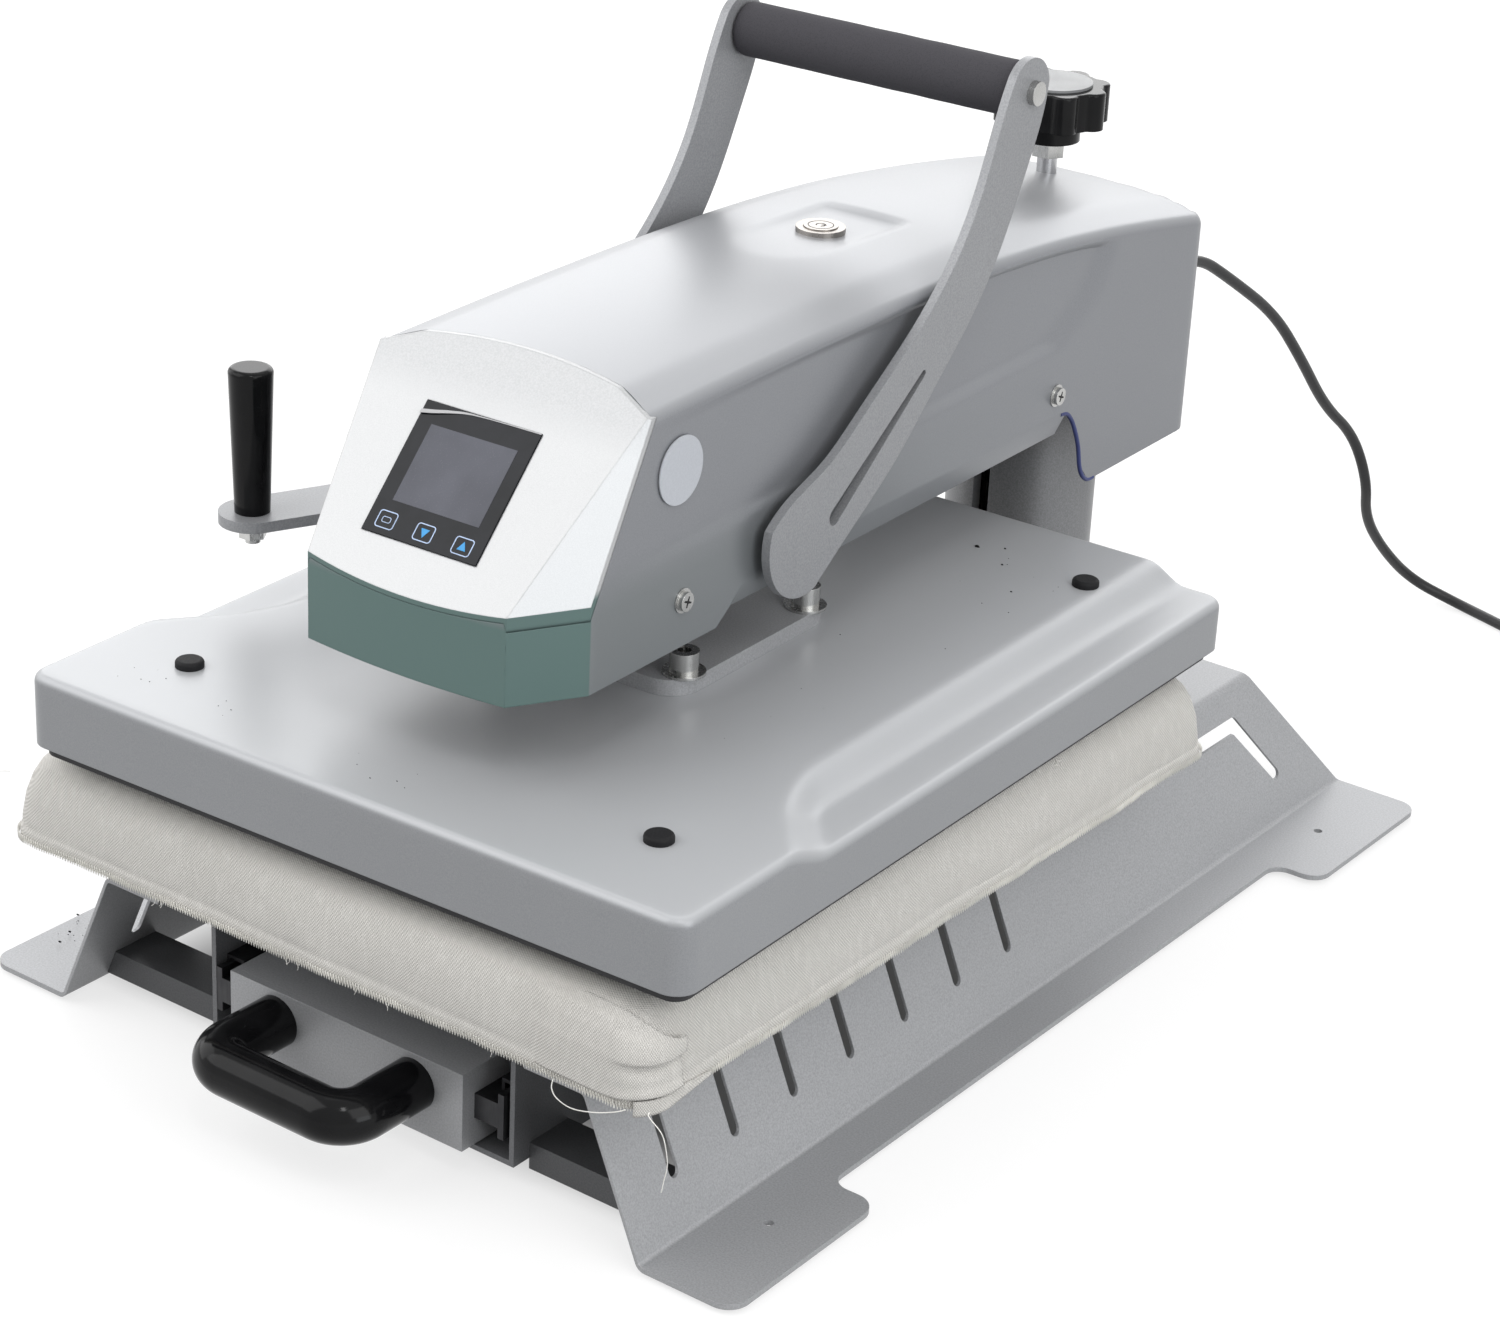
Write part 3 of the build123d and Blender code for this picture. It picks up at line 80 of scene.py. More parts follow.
class Nodes:
    """A node tree built step by step, from a kind of coordinates."""

    def __init__(self, tree, place):
        self.nodes = tree.nodes
        self.links = tree.links
        self.place = self.new("TexCoord").outputs[place]

    def new(self, kind):
        return self.nodes.new("ShaderNode" + kind)

    def link(self, source, node, name):
        self.links.new(source, node.inputs[name])

    def feed(self, socket, source):
        """A number, a colour or another node's output goes into a socket."""
        if isinstance(source, (int, float)):
            socket.default_value = source
        elif isinstance(source, tuple):
            socket.default_value = (*source, 1.0)
        else:
            self.links.new(source, socket)

    def noise(self, scale, detail=3.0, rough=0.5, distort=0.0, stretch=(1, 1, 1)):
        mapping = self.new("Mapping")
        self.link(self.place, mapping, "Vector")
        value(mapping, "Scale", stretch)
        node = self.new("TexNoise")
        self.link(mapping.outputs["Vector"], node, "Vector")
        value(node, "Scale", scale)
        value(node, "Detail", detail)
        value(node, "Roughness", rough)
        value(node, "Distortion", distort)
        return node.outputs["Fac"]

    def cells(self, scale):
        node = self.new("TexVoronoi")
        self.link(self.place, node, "Vector")
        value(node, "Scale", scale)
        return node.outputs["Distance"]

    def spread(self, source, low, high, to_low=0.0, to_high=1.0):
        node = self.new("MapRange")
        ends = {"Value": source, "From Min": low, "From Max": high, "To Min": to_low, "To Max": to_high}
        for name, end in ends.items():
            self.feed(node.inputs[name], end)
        return node.outputs["Result"]

    def math(self, operation, first, *others):
        """One operation over its values in turn."""
        for other in others or (0.0,):
            node = self.new("Math")
            node.operation = operation
            self.feed(node.inputs[0], first)
            self.feed(node.inputs[1], other)
            first = node.outputs[0]
        return first

    def axis(self, name, vector=None):
        node = self.new("SeparateXYZ")
        self.link(vector or self.place, node, "Vector")
        return node.outputs[name]

    def upward(self):
        """The upward part of a surface's normal."""
        return self.axis("Z", self.new("NewGeometry").outputs["Normal"])

    def seen_plainly(self):
        """1 for a camera, glossy or transmission ray and 0 for the rays that light the object."""
        rays = self.new("LightPath").outputs
        return self.math("MAXIMUM", rays["Is Camera Ray"], rays["Is Glossy Ray"], rays["Is Transmission Ray"])


class Material(Nodes):
    """A material: its colour, its roughness and its relief."""

    def __init__(self, name, edge_r=0.0):
        self.material = bpy.data.materials.new(name)
        self.material.use_nodes = True
        super().__init__(self.material.node_tree, "Object")
        self.shader = self.nodes["Principled BSDF"]
        self.relief = None
        if edge_r:
            bevel = self.new("Bevel")
            bevel.samples = 4
            value(bevel, "Radius", edge_r)
            self.turn_normal(bevel)

    def turn_normal(self, node):
        self.relief = node.outputs["Normal"]
        self.link(self.relief, self.shader, "Normal")

    def set(self, **values):
        for name, number in values.items():
            value(self.shader, name.replace("_", " "), number)
        return self

    def mix(self, factor, a, b):
        node = self.new("Mix")
        node.data_type = "RGBA"
        factor_socket, a_socket, b_socket = (node.inputs[i] for i in (0, 6, 7))
        self.feed(factor_socket, factor)
        self.feed(a_socket, a)
        self.feed(b_socket, b)
        return node.outputs[2]

    def colour(self, source):
        self.feed(self.shader.inputs["Base Color"], source)
        return self

    def roughness(self, source, low, high, rough_low, rough_high):
        self.link(self.spread(source, low, high, rough_low, rough_high), self.shader, "Roughness")
        return self

    def bump(self, height, depth, strength=1.0):
        node = self.new("Bump")
        self.link(height, node, "Height")
        value(node, "Distance", depth)
        value(node, "Strength", strength)
        if self.relief is not None:
            self.link(self.relief, node, "Normal")
        self.turn_normal(node)
        return self


def paint(name, tone, light, metallic, rough, speckle=0.0, edges=0.5, grain_scale=1000, grain_depth=0.1):
    """A sprayed silver or grey paint: fine grain, faint clouds and, where it sparkles, flecks."""
    m = Material(name, edges * mm)
    grain = m.noise(grain_scale, 4, 0.6)
    cloudy = m.noise(8, 2)
    tint = m.mix(m.spread(grain, 0.35, 0.65), tone, light)
    tint = m.mix(m.spread(cloudy, 0.3, 0.7, 0.0, 0.2), tint, tuple(x * 0.88 for x in tone))
    if speckle:
        flecks = m.cells(grain_scale * 1.5)
        tint = m.mix(m.spread(flecks, 0.0, 0.13, speckle, 0.0), tint, (0.78, 0.79, 0.80))
    m.colour(tint).roughness(grain, 0.3, 0.7, rough * 0.88, rough * 1.12)
    m.bump(grain, grain_depth * mm, 0.6).set(Metallic=metallic, Specular_IOR_Level=0.3)
    return m, tint


satin = {"edges": 0.6, "grain_scale": 1500, "grain_depth": 0.03}
nose_green = (0.115, 0.18, 0.17)
side_green = (0.195, 0.212, 0.216)
# The upward part of the normal at which the painted top light starts, and is full
facing_up = (0.2, 0.95)
weave_pitch = 1.7 * mm
weave_drift = 0.8 * mm


def head_paint():
    """The head's paint: paler on upward faces such as the roof as painted top light, and a dull green band
    round the nose.
    """
    tones = ((0.235, 0.242, 0.260), (0.275, 0.282, 0.298))
    m, tint = paint("satin_silver_paint", *tones, 0.38, 0.36, **satin)
    # Painted top light: upward faces are mixed to a paler tone
    tint = m.mix(m.spread(m.upward(), *facing_up), tint, (0.37, 0.378, 0.395))
    z = m.axis("Z")
    turned_y = m.math("SUBTRACT", m.axis("Y"), m.math("MULTIPLY", m.axis("X"), sin(head_turn)))
    under_fascia = m.spread(z, 0.286, 0.292, 1.0, 0.0)
    over_foot = m.spread(z, 0.238, 0.246)
    before_sides = m.spread(turned_y, -0.2793, -0.2783, 1.0, 0.0)
    under_stamp = m.spread(z, 0.286, 0.31, 1.0, 0.0)
    low_side = m.math("MULTIPLY", under_stamp, m.spread(turned_y, -0.25, 0.16, 1.0, 0.0), 0.8)
    tint = m.mix(low_side, tint, side_green)
    m.colour(m.mix(m.math("MULTIPLY", under_fascia, over_foot, before_sides), tint, nose_green))
    return m


def fascia_paint():
    """The fascia's bright paint, duller in a band along its top, with the nose's green on its lower edge."""
    tones = ((0.48, 0.485, 0.49), (0.54, 0.545, 0.55))
    m, tint = paint("bright_silver_paint", *tones, 0.35, 0.32, 0.0, 1.0, 1800, 0.03)
    z = m.axis("Z")
    band = m.spread(z, 0.358, 0.372)
    hammered = m.noise(1100, 2)
    dull = m.mix(m.spread(hammered, 0.35, 0.65), (0.43, 0.435, 0.442), (0.485, 0.49, 0.497))
    edge = m.math("MULTIPLY", m.spread(m.upward(), 0.1, 0.18, 1.0, 0.0), m.spread(z, 0.296, 0.300, 1.0, 0.0))
    m.colour(m.mix(edge, m.mix(band, tint, dull), nose_green))
    return m.bump(m.math("MULTIPLY", hammered, band), 0.03 * mm, 0.5)


def cover_paint():
    """The head's paint on the heat cover, a little paler on top as painted top light, unevenly in soft
    clouds.
    """
    m, tint = paint("silver_paint_painted_lighter_on_top", (0.270, 0.277, 0.290), (0.315, 0.322, 0.335), 0.2, 0.36, **satin)
    cloudy = m.spread(m.noise(5, 3), 0.2, 0.8, 0.85, 1.0)
    # Painted top light: upward faces are mixed to a paler tone, unevenly
    painted_top_light = m.math("MULTIPLY", m.spread(m.upward(), *facing_up), cloudy)
    m.colour(m.mix(painted_top_light, tint, (0.485, 0.495, 0.51)))
    return m


def metal(name, tone, dark, rough, scratch=500, edges=0.3):
    m = Material(name, edges * mm)
    grain = m.noise(scratch, 3, 0.6, 0.0, (1, 1, 0.12))
    m.colour(m.mix(m.spread(m.noise(60, 3), 0.3, 0.7), tone, dark))
    m.roughness(grain, 0.3, 0.7, rough * 0.8, rough * 1.25)
    return m.bump(grain, 0.015 * mm, 0.5).set(Metallic=1.0)


def plastic(name, tone, rough, edges=0.6, grain_depth=0.02, specular=0.35):
    m = Material(name, edges * mm)
    grain = m.noise(1300, 3, 0.6)
    lighter = tuple(x * 1.3 + 0.004 for x in tone)
    m.colour(m.mix(m.spread(m.noise(40, 2), 0.3, 0.7), tone, lighter))
    m.roughness(grain, 0.3, 0.7, rough * 0.85, rough * 1.15)
    return m.bump(grain, grain_depth * mm, 0.5).set(Specular_IOR_Level=specular)


def grey_disc():
    m = Material("pale_grey_disc", 0.3 * mm)
    grain = m.noise(900, 2)
    m.colour(m.mix(m.spread(grain, 0.3, 0.7), (0.50, 0.52, 0.56), (0.55, 0.57, 0.61)))
    return m.roughness(grain, 0.3, 0.7, 0.5, 0.6).bump(grain, 0.02 * mm, 0.4)


def dark_glass():
    m = Material("smoked_glass", 0.3 * mm)
    smears = m.noise(45, 3, 0.6, 0.4)
    m.colour(m.mix(m.spread(smears, 0.35, 0.7), (0.006, 0.007, 0.009), (0.012, 0.013, 0.017)))
    return m.roughness(smears, 0.3, 0.7, 0.06, 0.16).set(Specular_IOR_Level=0.2)


def foam(name, tone, light, scale, depth):
    m = Material(name)
    cells = m.cells(scale)
    cloudy = m.noise(scale * 0.4, 4, 0.6)
    both = m.mix(m.spread(cells, 0.0, 0.5), tone, light)
    m.colour(m.mix(m.spread(cloudy, 0.35, 0.7, 0.0, 0.5), both, light))
    m.roughness(cells, 0.0, 0.6, 0.75, 0.95).set(Specular_IOR_Level=0.25)
    return m.bump(cells, depth * mm, 0.7).bump(cloudy, depth * 1.5 * mm, 0.5)


def canvas():
    """A coarse plain weave in unbleached yarn, with slubs, and small grey soiling."""
    m = Material("beige_canvas")
    turn = 2 * pi / weave_pitch
    drift = m.spread(m.noise(14, 2, 0.5), 0.0, 1.0, -weave_drift, weave_drift)
    level = m.spread(m.upward(), 0.6, 0.8)
    y = m.axis("Y")
    y_across = m.math("MULTIPLY", y, level)
    y_along = m.math("SUBTRACT", y, y_across)
    along = m.math("ADD", m.axis("X"), y_along, drift)
    across = m.math("ADD", m.axis("Z"), y_across, m.math("MULTIPLY", drift, 0.7))
    warp = m.math("SINE", m.math("MULTIPLY", along, turn))
    weft = m.math("SINE", m.math("MULTIPLY", across, turn))
    weave = m.spread(m.math("MULTIPLY", warp, weft), -0.8, 0.8)
    slubs = m.noise(240, 4, 0.65, 0.0, (1, 1, 0.35))
    dirt = m.noise(11, 4, 0.6)
    tone = m.mix(weave, (0.495, 0.48, 0.45), (0.785, 0.765, 0.73))
    tone = m.mix(m.spread(slubs, 0.5, 0.75, 0.0, 0.4), tone, (0.82, 0.80, 0.765))
    tone = m.mix(m.spread(dirt, 0.52, 0.78, 0.0, 0.3), tone, (0.50, 0.475, 0.435))
    m.colour(tone).roughness(slubs, 0.3, 0.7, 0.85, 0.95)
    m.set(Sheen_Weight=0.15, Sheen_Roughness=0.6, Specular_IOR_Level=0.2)
    return m.bump(weave, 0.3 * mm, 0.8).bump(slubs, 0.3 * mm, 0.4)


def wool():
    m = Material("mineral_wool")
    fibres = m.noise(260, 5, 0.7, 0.5, (1, 1, 3))
    m.colour(m.mix(m.spread(fibres, 0.3, 0.7), (0.62, 0.58, 0.48), (0.80, 0.77, 0.68)))
    return m.roughness(fibres, 0.3, 0.7, 0.85, 1.0).bump(fibres, 0.8 * mm, 0.8)


# Paints: name, darker and lighter tone, metallic, roughness and share of flecks
PAINTS = {
    "base_paint": ("textured_grey_paint", (0.335, 0.34, 0.35), (0.455, 0.46, 0.475), 0.3, 0.44, 0.45),
    # Darker grey for the cross tubes and platen support: painted shade where they sit under the platen
    "dark_paint": ("shaded_grey_paint", (0.085, 0.087, 0.091), (0.125, 0.127, 0.132), 0.3, 0.46, 0.2),
    # Darker grey for the slide channel: painted shade under the platen
    "channel_paint": ("channel_grey_paint", (0.15, 0.153, 0.16), (0.21, 0.213, 0.222), 0.3, 0.44, 0.35),
    "column_paint": ("column_grey_paint", (0.20, 0.203, 0.21), (0.28, 0.284, 0.293), 0.5, 0.4, 0.4),
    "plate_paint": ("sparkling_grey_paint", (0.27, 0.275, 0.285), (0.36, 0.365, 0.38), 0.3, 0.42, 0.5),
}
# Metals: name, lighter and darker tone, roughness and, for some, the scale of the scratches
METALS = {
    # Rail steel darkened as painted shade for the rails in the dark gap under the platen
    "dark_rail": ("dull_rail_steel", (0.07, 0.07, 0.073), (0.045, 0.045, 0.048), 0.5),
    "steel": ("machined_steel", (0.62, 0.62, 0.63), (0.54, 0.54, 0.55), 0.24),
    "zinc_steel": ("zinc_plated_steel", (0.55, 0.55, 0.54), (0.42, 0.42, 0.41), 0.24, 700),
    "polished_steel": ("polished_steel", (0.40, 0.375, 0.35), (0.33, 0.31, 0.29), 0.3, 900),
    "bronze": ("sintered_bronze", (0.58, 0.42, 0.22), (0.48, 0.34, 0.17), 0.4),
    "aluminium_plate": ("cast_aluminium", (0.66, 0.67, 0.68), (0.56, 0.57, 0.58), 0.4, 300),
}
# Plastics and small marks: name, tone, roughness, edge radius and grain depth in mm, specular level
PLASTICS = {
    "knob_disc": ("knob_cap", (0.24, 0.245, 0.25), 0.4, 0.3, 0.02, 0.3),
    # Near black: partly the plate's dark coating and partly painted shade for the gap under the cover
    "hot_plate": ("dark_hot_plate", (0.03, 0.03, 0.032), 0.55, 0.4, 0.05, 0.25),
    "black_rubber": ("matte_black_rubber", (0.008, 0.008, 0.009), 0.62, 0.4, 0.05, 0.2),
    "gloss_black": ("gloss_black_plastic", (0.0035, 0.0035, 0.004), 0.12, 0.8, 0.004, 0.16),
    "thread": ("pale_thread", (0.80, 0.79, 0.75), 0.8, 0.1, 0.0, 0.2),
    "blue_edge": ("dark_blue_edge", (0.035, 0.045, 0.14), 0.45, 0.2, 0.0, 0.3),
    # Near black for the button's printed symbol, and as painted shade for the screw recesses and the groove
    # round the button
    "dark_mark": ("dark_print_and_recess_shade", (0.015, 0.015, 0.016), 0.6, 0.1, 0.0, 0.2),
    "grit": ("black_grit", (0.006, 0.006, 0.006), 0.8, 0.1, 0.0, 0.2),
    "screen": ("grey_screen", (0.072, 0.075, 0.093), 0.25, 0.1, 0.0, 0.25),
    "key_line": ("pale_blue_line", (0.42, 0.52, 0.72), 0.4, 0.1, 0.0, 0.3),
    "key_mark": ("blue_key_mark", (0.05, 0.30, 0.62), 0.4, 0.1, 0.0, 0.3),
    "clear_film": ("film_edge", (0.42, 0.42, 0.43), 0.25, 0.1, 0.0, 0.4),
    "black_plastic": ("satin_black_plastic", (0.012, 0.012, 0.013), 0.45, 0.5),
    "cord_jacket": ("cord_jacket", (0.010, 0.010, 0.011), 0.42, 0.3, 0.015, 0.4),
}
MATERIALS = {
    "head_paint": head_paint(),
    "cover_paint": cover_paint(),
    "fascia_silver": fascia_paint(),
    "grey_disc": grey_disc(),
    "dark_glass": dark_glass(),
    "grip_foam": foam("charcoal_foam", (0.030, 0.029, 0.033), (0.066, 0.064, 0.072), 1500, 0.12),
    "silicone_foam": foam("silicone_foam", (0.42, 0.16, 0.09), (0.52, 0.22, 0.13), 700, 0.2),
    "canvas": canvas(),
    "wool": wool(),
}
MATERIALS.update({slot: paint(*recipe)[0] for slot, recipe in PAINTS.items()})
MATERIALS.update({slot: metal(*recipe) for slot, recipe in METALS.items()})
MATERIALS.update({slot: plastic(*recipe) for slot, recipe in PLASTICS.items()})


def dress(piece, name, body, replaced=()):
    """A finished piece gets its material, its body and the nodes that it stands for."""
    piece.data.materials.append(MATERIALS[name].material)
    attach(piece, body)
    if replaced:
        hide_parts(*replaced)
    return piece


def shade(piece, angle):
    for face in piece.data.polygons:
        face.use_smooth = True
    piece.data.set_sharp_from_angle(angle=radians(angle))
    return piece


def linked(name, form):
    """A form becomes an object of the scene."""
    mesh = bpy.data.meshes.new(name)
    form.to_mesh(mesh)
    form.free()
    piece = bpy.data.objects.new(name, mesh)
    bpy.context.scene.collection.objects.link(piece)
    return piece


def as_object(name, form, smooth_angle=None, turned=False):
    if turned:
        bmesh.ops.transform(form, matrix=HEAD_TURN, verts=form.verts)
    bmesh.ops.recalc_face_normals(form, faces=form.faces)
    piece = linked(name, form)
    return piece if smooth_angle is None else shade(piece, smooth_angle)


def tube_of_rings(form, rings, closed_start=True, closed_end=True):
    """Joins rings of points, all of one count, into a skin."""
    made = [[form.verts.new(p) for p in ring] for ring in rings]
    count = len(made[0])
    for low, high in zip(made, made[1:]):
        for i in range(count):
            j = (i + 1) % count
            form.faces.new((low[i], low[j], high[j], high[i]))
    if closed_start:
        form.faces.new(made[0][::-1])
    if closed_end:
        form.faces.new(made[-1])
    return made


def grid_of(form, rows):
    """Joins rows of points, all of one count, into a sheet."""
    made = [[form.verts.new(p) for p in row] for row in rows]
    for low, high in zip(made, made[1:]):
        for i in range(len(low) - 1):
            form.faces.new((low[i], low[i + 1], high[i + 1], high[i]))
    return made


def circle(centre, side, other, radius, steps):
    """Points round a circle in the plane of two directions."""
    turns = [2 * pi * i / steps for i in range(steps)]
    return [centre + (side * cos(turn) + other * sin(turn)) * radius for turn in turns]


def turned_form(form, profile, at, way, steps=48):
    """A turned piece: profile is (along, radius) pairs on the axis that starts at a point."""
    way = Vector(way).normalized()
    side = way.orthogonal().normalized()
    other = way.cross(side)
    rings = [circle(Vector(at) + way * along, side, other, radius, steps) for along, radius in profile]
    return tube_of_rings(form, rings)


def cubic_way(start, leave, end, arrive, t):
    """A smooth way between two values or points, from the slopes at its ends."""
    a = 2 * t**3 - 3 * t**2 + 1
    b = t**3 - 2 * t**2 + t
    return start * a + leave * b + end * (1 - a) + arrive * (t**3 - t**2)


def on_line(line, at):
    """The height of a line of points over a place, held flat past its ends."""
    if at <= line[0][0]:
        return line[0][1]
    for (x0, y0), (x1, y1) in zip(line, line[1:]):
        if at <= x1:
            return y0 + (y1 - y0) * (at - x0) / (x1 - x0)
    return line[-1][1]


def on_curve(line, at):
    """As on_line, on a smooth curve through the points."""
    if at <= line[0][0]:
        return line[0][1]
    for i in range(len(line) - 1):
        x0, y0 = line[i]
        x1, y1 = line[i + 1]
        if at <= x1:
            before = line[max(0, i - 1)]
            after = line[min(len(line) - 1, i + 2)]
            span = x1 - x0
            slope0 = (y1 - before[1]) / (x1 - before[0]) * span
            slope1 = (after[1] - y0) / (after[0] - x0) * span
            return cubic_way(y0, slope0, y1, slope1, (at - x0) / span)
    return line[-1][1]


def smooth(t):
    t = min(1.0, max(0.0, t))
    return t * t * (3 - 2 * t)


def stations(marks, step):
    """Places from the first mark to the last, no further apart than a step, with every mark among them."""
    places = [marks[0]]
    for low, high in zip(marks, marks[1:]):
        count = max(1, round((high - low) / step))
        places += [low + (high - low) * i / count for i in range(1, count + 1)]
    return places


def thin_tube(form, points, radius, steps=8):
    """A round thread along a line of points."""
    points = [Vector(p) for p in points]
    rings = []
    for i, point in enumerate(points):
        way = (points[min(i + 1, len(points) - 1)] - points[max(i - 1, 0)]).normalized()
        side = way.cross(Vector((0.31, 0.17, 0.93))).normalized()
        rings.append(circle(point, side, way.cross(side), radius, steps))
    return tube_of_rings(form, rings)


def smooth_path(points, parts):
    """A smooth curve through points, as more points."""
    points = [Vector(p) for p in points]
    made = []
    for i in range(len(points) - 1):
        before = points[max(0, i - 1)]
        after = points[min(len(points) - 1, i + 2)]
        start, end = points[i], points[i + 1]
        leave, arrive = (end - before) * 0.5, (after - start) * 0.5
        made += [cubic_way(start, leave, end, arrive, k / parts) for k in range(parts)]
    return made + [points[-1]]


# Camera

def place_camera():
    back = Vector((
        sin(camera_azimuth) * cos(camera_elevation),
        -cos(camera_azimuth) * cos(camera_elevation),
        sin(camera_elevation),
    ))
    level = Vector((cos(camera_azimuth), sin(camera_azimuth), 0.0))
    upright = back.cross(level)
    right = level * cos(camera_roll) + upright * sin(camera_roll)
    up = upright * cos(camera_roll) - level * sin(camera_roll)
    camera = bpy.data.objects.new("camera", bpy.data.cameras.new("camera"))
    camera.data.lens = camera_lens
    camera.data.sensor_width = camera_sensor
    camera.data.sensor_fit = "HORIZONTAL"
    camera.data.clip_end = camera_reach
    camera.matrix_world = Matrix.Translation(camera_at) @ Matrix((right, up, back)).transposed().to_4x4()
    bpy.context.scene.collection.objects.link(camera)
    bpy.context.scene.camera = camera


place_camera()


# Room and lamps

def make_world():
    world = bpy.data.worlds.new("studio")
    bpy.context.scene.world = world
    world.use_nodes = True
    sky = Nodes(world.node_tree, "Generated")
    background = sky.nodes["Background"]
    value(background, "Color", (1.0, 1.0, 1.0, 1.0))
    dome = sky.spread(sky.axis("Z"), 0.0, 1.0, horizon_level, zenith_level)
    strength = sky.spread(sky.seen_plainly(), 0.0, 1.0, dome, 1.0)
    sky.link(strength, background, "Strength")


def make_floor():
    form = bmesh.new()
    bmesh.ops.create_grid(form, x_segments=8, y_segments=8, size=floor_size / 2)
    bmesh.ops.translate(form, verts=form.verts, vec=(0, 0, floor_level))
    floor = as_object("floor", form)
    m = Material("pale_floor")
    m.colour(m.mix(m.noise(3, 3), (0.29, 0.29, 0.29), (0.31, 0.31, 0.31)))
    m.set(Roughness=0.9, Specular_IOR_Level=0.1, Emission_Color=(1.0, 1.0, 1.0, 1.0))
    aside = m.math("ABSOLUTE", m.axis("X"))
    away = m.math("ABSOLUTE", m.math("SUBTRACT", m.axis("Y"), shade_middle_y))
    open_floor = m.math("MAXIMUM", m.spread(aside, *shade_half_x), m.spread(away, *shade_half_y))
    glow = m.math("MULTIPLY", m.spread(open_floor, 0.0, 1.0, shaded_floor_glow, floor_glow), m.seen_plainly())
    m.link(glow, m.shader, "Emission Strength")
    floor.data.materials.append(m.material)


# Lamps: name, place, aim, size, watts and, for one, its tint
LAMPS = (
    ("key_softbox", (-1.3, -1.7, 1.9), (0.0, -0.1, 0.2), (2.0, 2.0), 24),
    ("top_softbox", (-0.2, 0.6, 2.5), (0.0, 0.0, 0.2), (2.0, 1.4), 5),
    ("rear_softbox", (-1.5, 2.1, 1.35), (0.0, 0.0, 0.25), (3.4, 1.7), 33),
    ("right_softbox", (2.0, -0.5, 1.6), (0.1, 0.0, 0.2), (1.8, 1.6), 18),
    ("low_right_softbox", (2.35, -0.7, 0.55), (0.08, -0.27, 0.33), (1.1, 0.7), 8, (0.93, 0.97, 1.0)),
    ("left_softbox", (-2.3, -0.5, 1.1), (0.0, 0.0, 0.25), (1.6, 1.6), 9),
    ("handle_strip", (0.9, -1.2, 2.2), (0.03, -0.4, 0.07), (0.25, 0.6), 5),
)


def lamp(name, at, aim, size, watts, tint=(1.0, 1.0, 1.0)):
    light = bpy.data.lights.new(name, "AREA")
    light.shape = "RECTANGLE"
    light.size, light.size_y = size
    light.energy = watts
    light.color = tint
    holder = bpy.data.objects.new(name, light)
    holder.location = at
    way = Vector(aim) - Vector(at)
    holder.rotation_euler = way.to_track_quat("-Z", "Y").to_euler()
    bpy.context.scene.collection.objects.link(holder)


make_world()
make_floor()
for row in LAMPS:
    lamp(*row)


# Mains cord: the route's points from the part's source, in metres

cord_r = 0.0035
cord_on_floor = floor_level + cord_r
gland_spot = Vector((0.052, 0.346, 0.3005))
gland_nose_l = 0.021
gland_tip = HEAD_TURN @ gland_spot
gland_way = (HEAD_TURN @ (gland_spot + Vector((0, gland_nose_l, 0))) - gland_tip).normalized()
cord_route = (
    (0.055, 0.403, 0.279),
    (0.063, 0.450, 0.247),
    (0.069, 0.482, 0.210),
    (0.072, 0.517, 0.169),
    (0.079, 0.550, 0.142),
    (0.088, 0.561, 0.108),
    (0.082, 0.577, 0.076),
    (0.084, 0.606, 0.044),
    (0.093, 0.638, 0.014),
    (0.122, 0.652, cord_on_floor),
    (0.155, 0.641, cord_on_floor),
    (0.190, 0.629, cord_on_floor),
)
coil_outer_r = 0.049
coil_pitch = 0.0077
coil_layer = 0.0076
coil_turns = 5.1
coil_tail = 0.020
coil_steps = 16

coil_entry = Vector(cord_route[-1])
coil_heading = (coil_entry - Vector(cord_route[-2])).normalized()
coil_start = coil_entry + coil_heading * (2 * cord_r)
coil_centre = coil_start + Vector((-coil_heading.y, coil_heading.x, 0)) * coil_outer_r
coil_first_angle = atan2(coil_start.y - coil_centre.y, coil_start.x - coil_centre.x)


def coil_point(angle):
    """A place on the coil, which winds inwards to its middle turn and out again one layer up."""
    away = angle - pi * coil_turns
    near = abs(away)
    if near < pi / 2:
        near = away * away / pi + pi / 4
    radius = coil_outer_r - coil_pitch / (2 * pi) * (pi * coil_turns - near)
    turn = coil_first_angle + angle
    height = coil_layer * smooth(away / pi + 0.5)
    return coil_centre + Vector((radius * cos(turn), radius * sin(turn), height))


def make_cord():
    last = 2 * pi * coil_turns
    count = round(coil_turns * coil_steps)
    turns = [coil_point(last * i / count) for i in range(count + 1)]
    way = (coil_point(last) - coil_point(last - 0.001)).normalized()
    end = turns[-1] + way * coil_tail
    points = [gland_tip, gland_tip + gland_way * gland_nose_l, *cord_route, *turns, end]
    curve = bpy.data.curves.new("mains_cord", "CURVE")
    curve.dimensions = "3D"
    curve.bevel_depth = cord_r
    curve.bevel_resolution = 5
    curve.resolution_u = 8
    curve.use_fill_caps = True
    spline = curve.splines.new("NURBS")
    spline.points.add(len(points) - 1)
    for spot, point in zip(spline.points, points):
        spot.co = (*point, 1.0)
    spline.use_endpoint_u = True
    spline.order_u = 3
    cord = bpy.data.objects.new("mains_cord", curve)
    bpy.context.scene.collection.objects.link(cord)
    dress(cord, "cord_jacket", "arm", ("power_cord", "cord_coil"))
    return cord, end, way


plug_body_l = 0.036
plug_body_h = 0.022
plug_neck_r = 0.0046
plug_grip_r = 0.0085
plug_grip_l = 0.020
plug_grip_ribs = 7
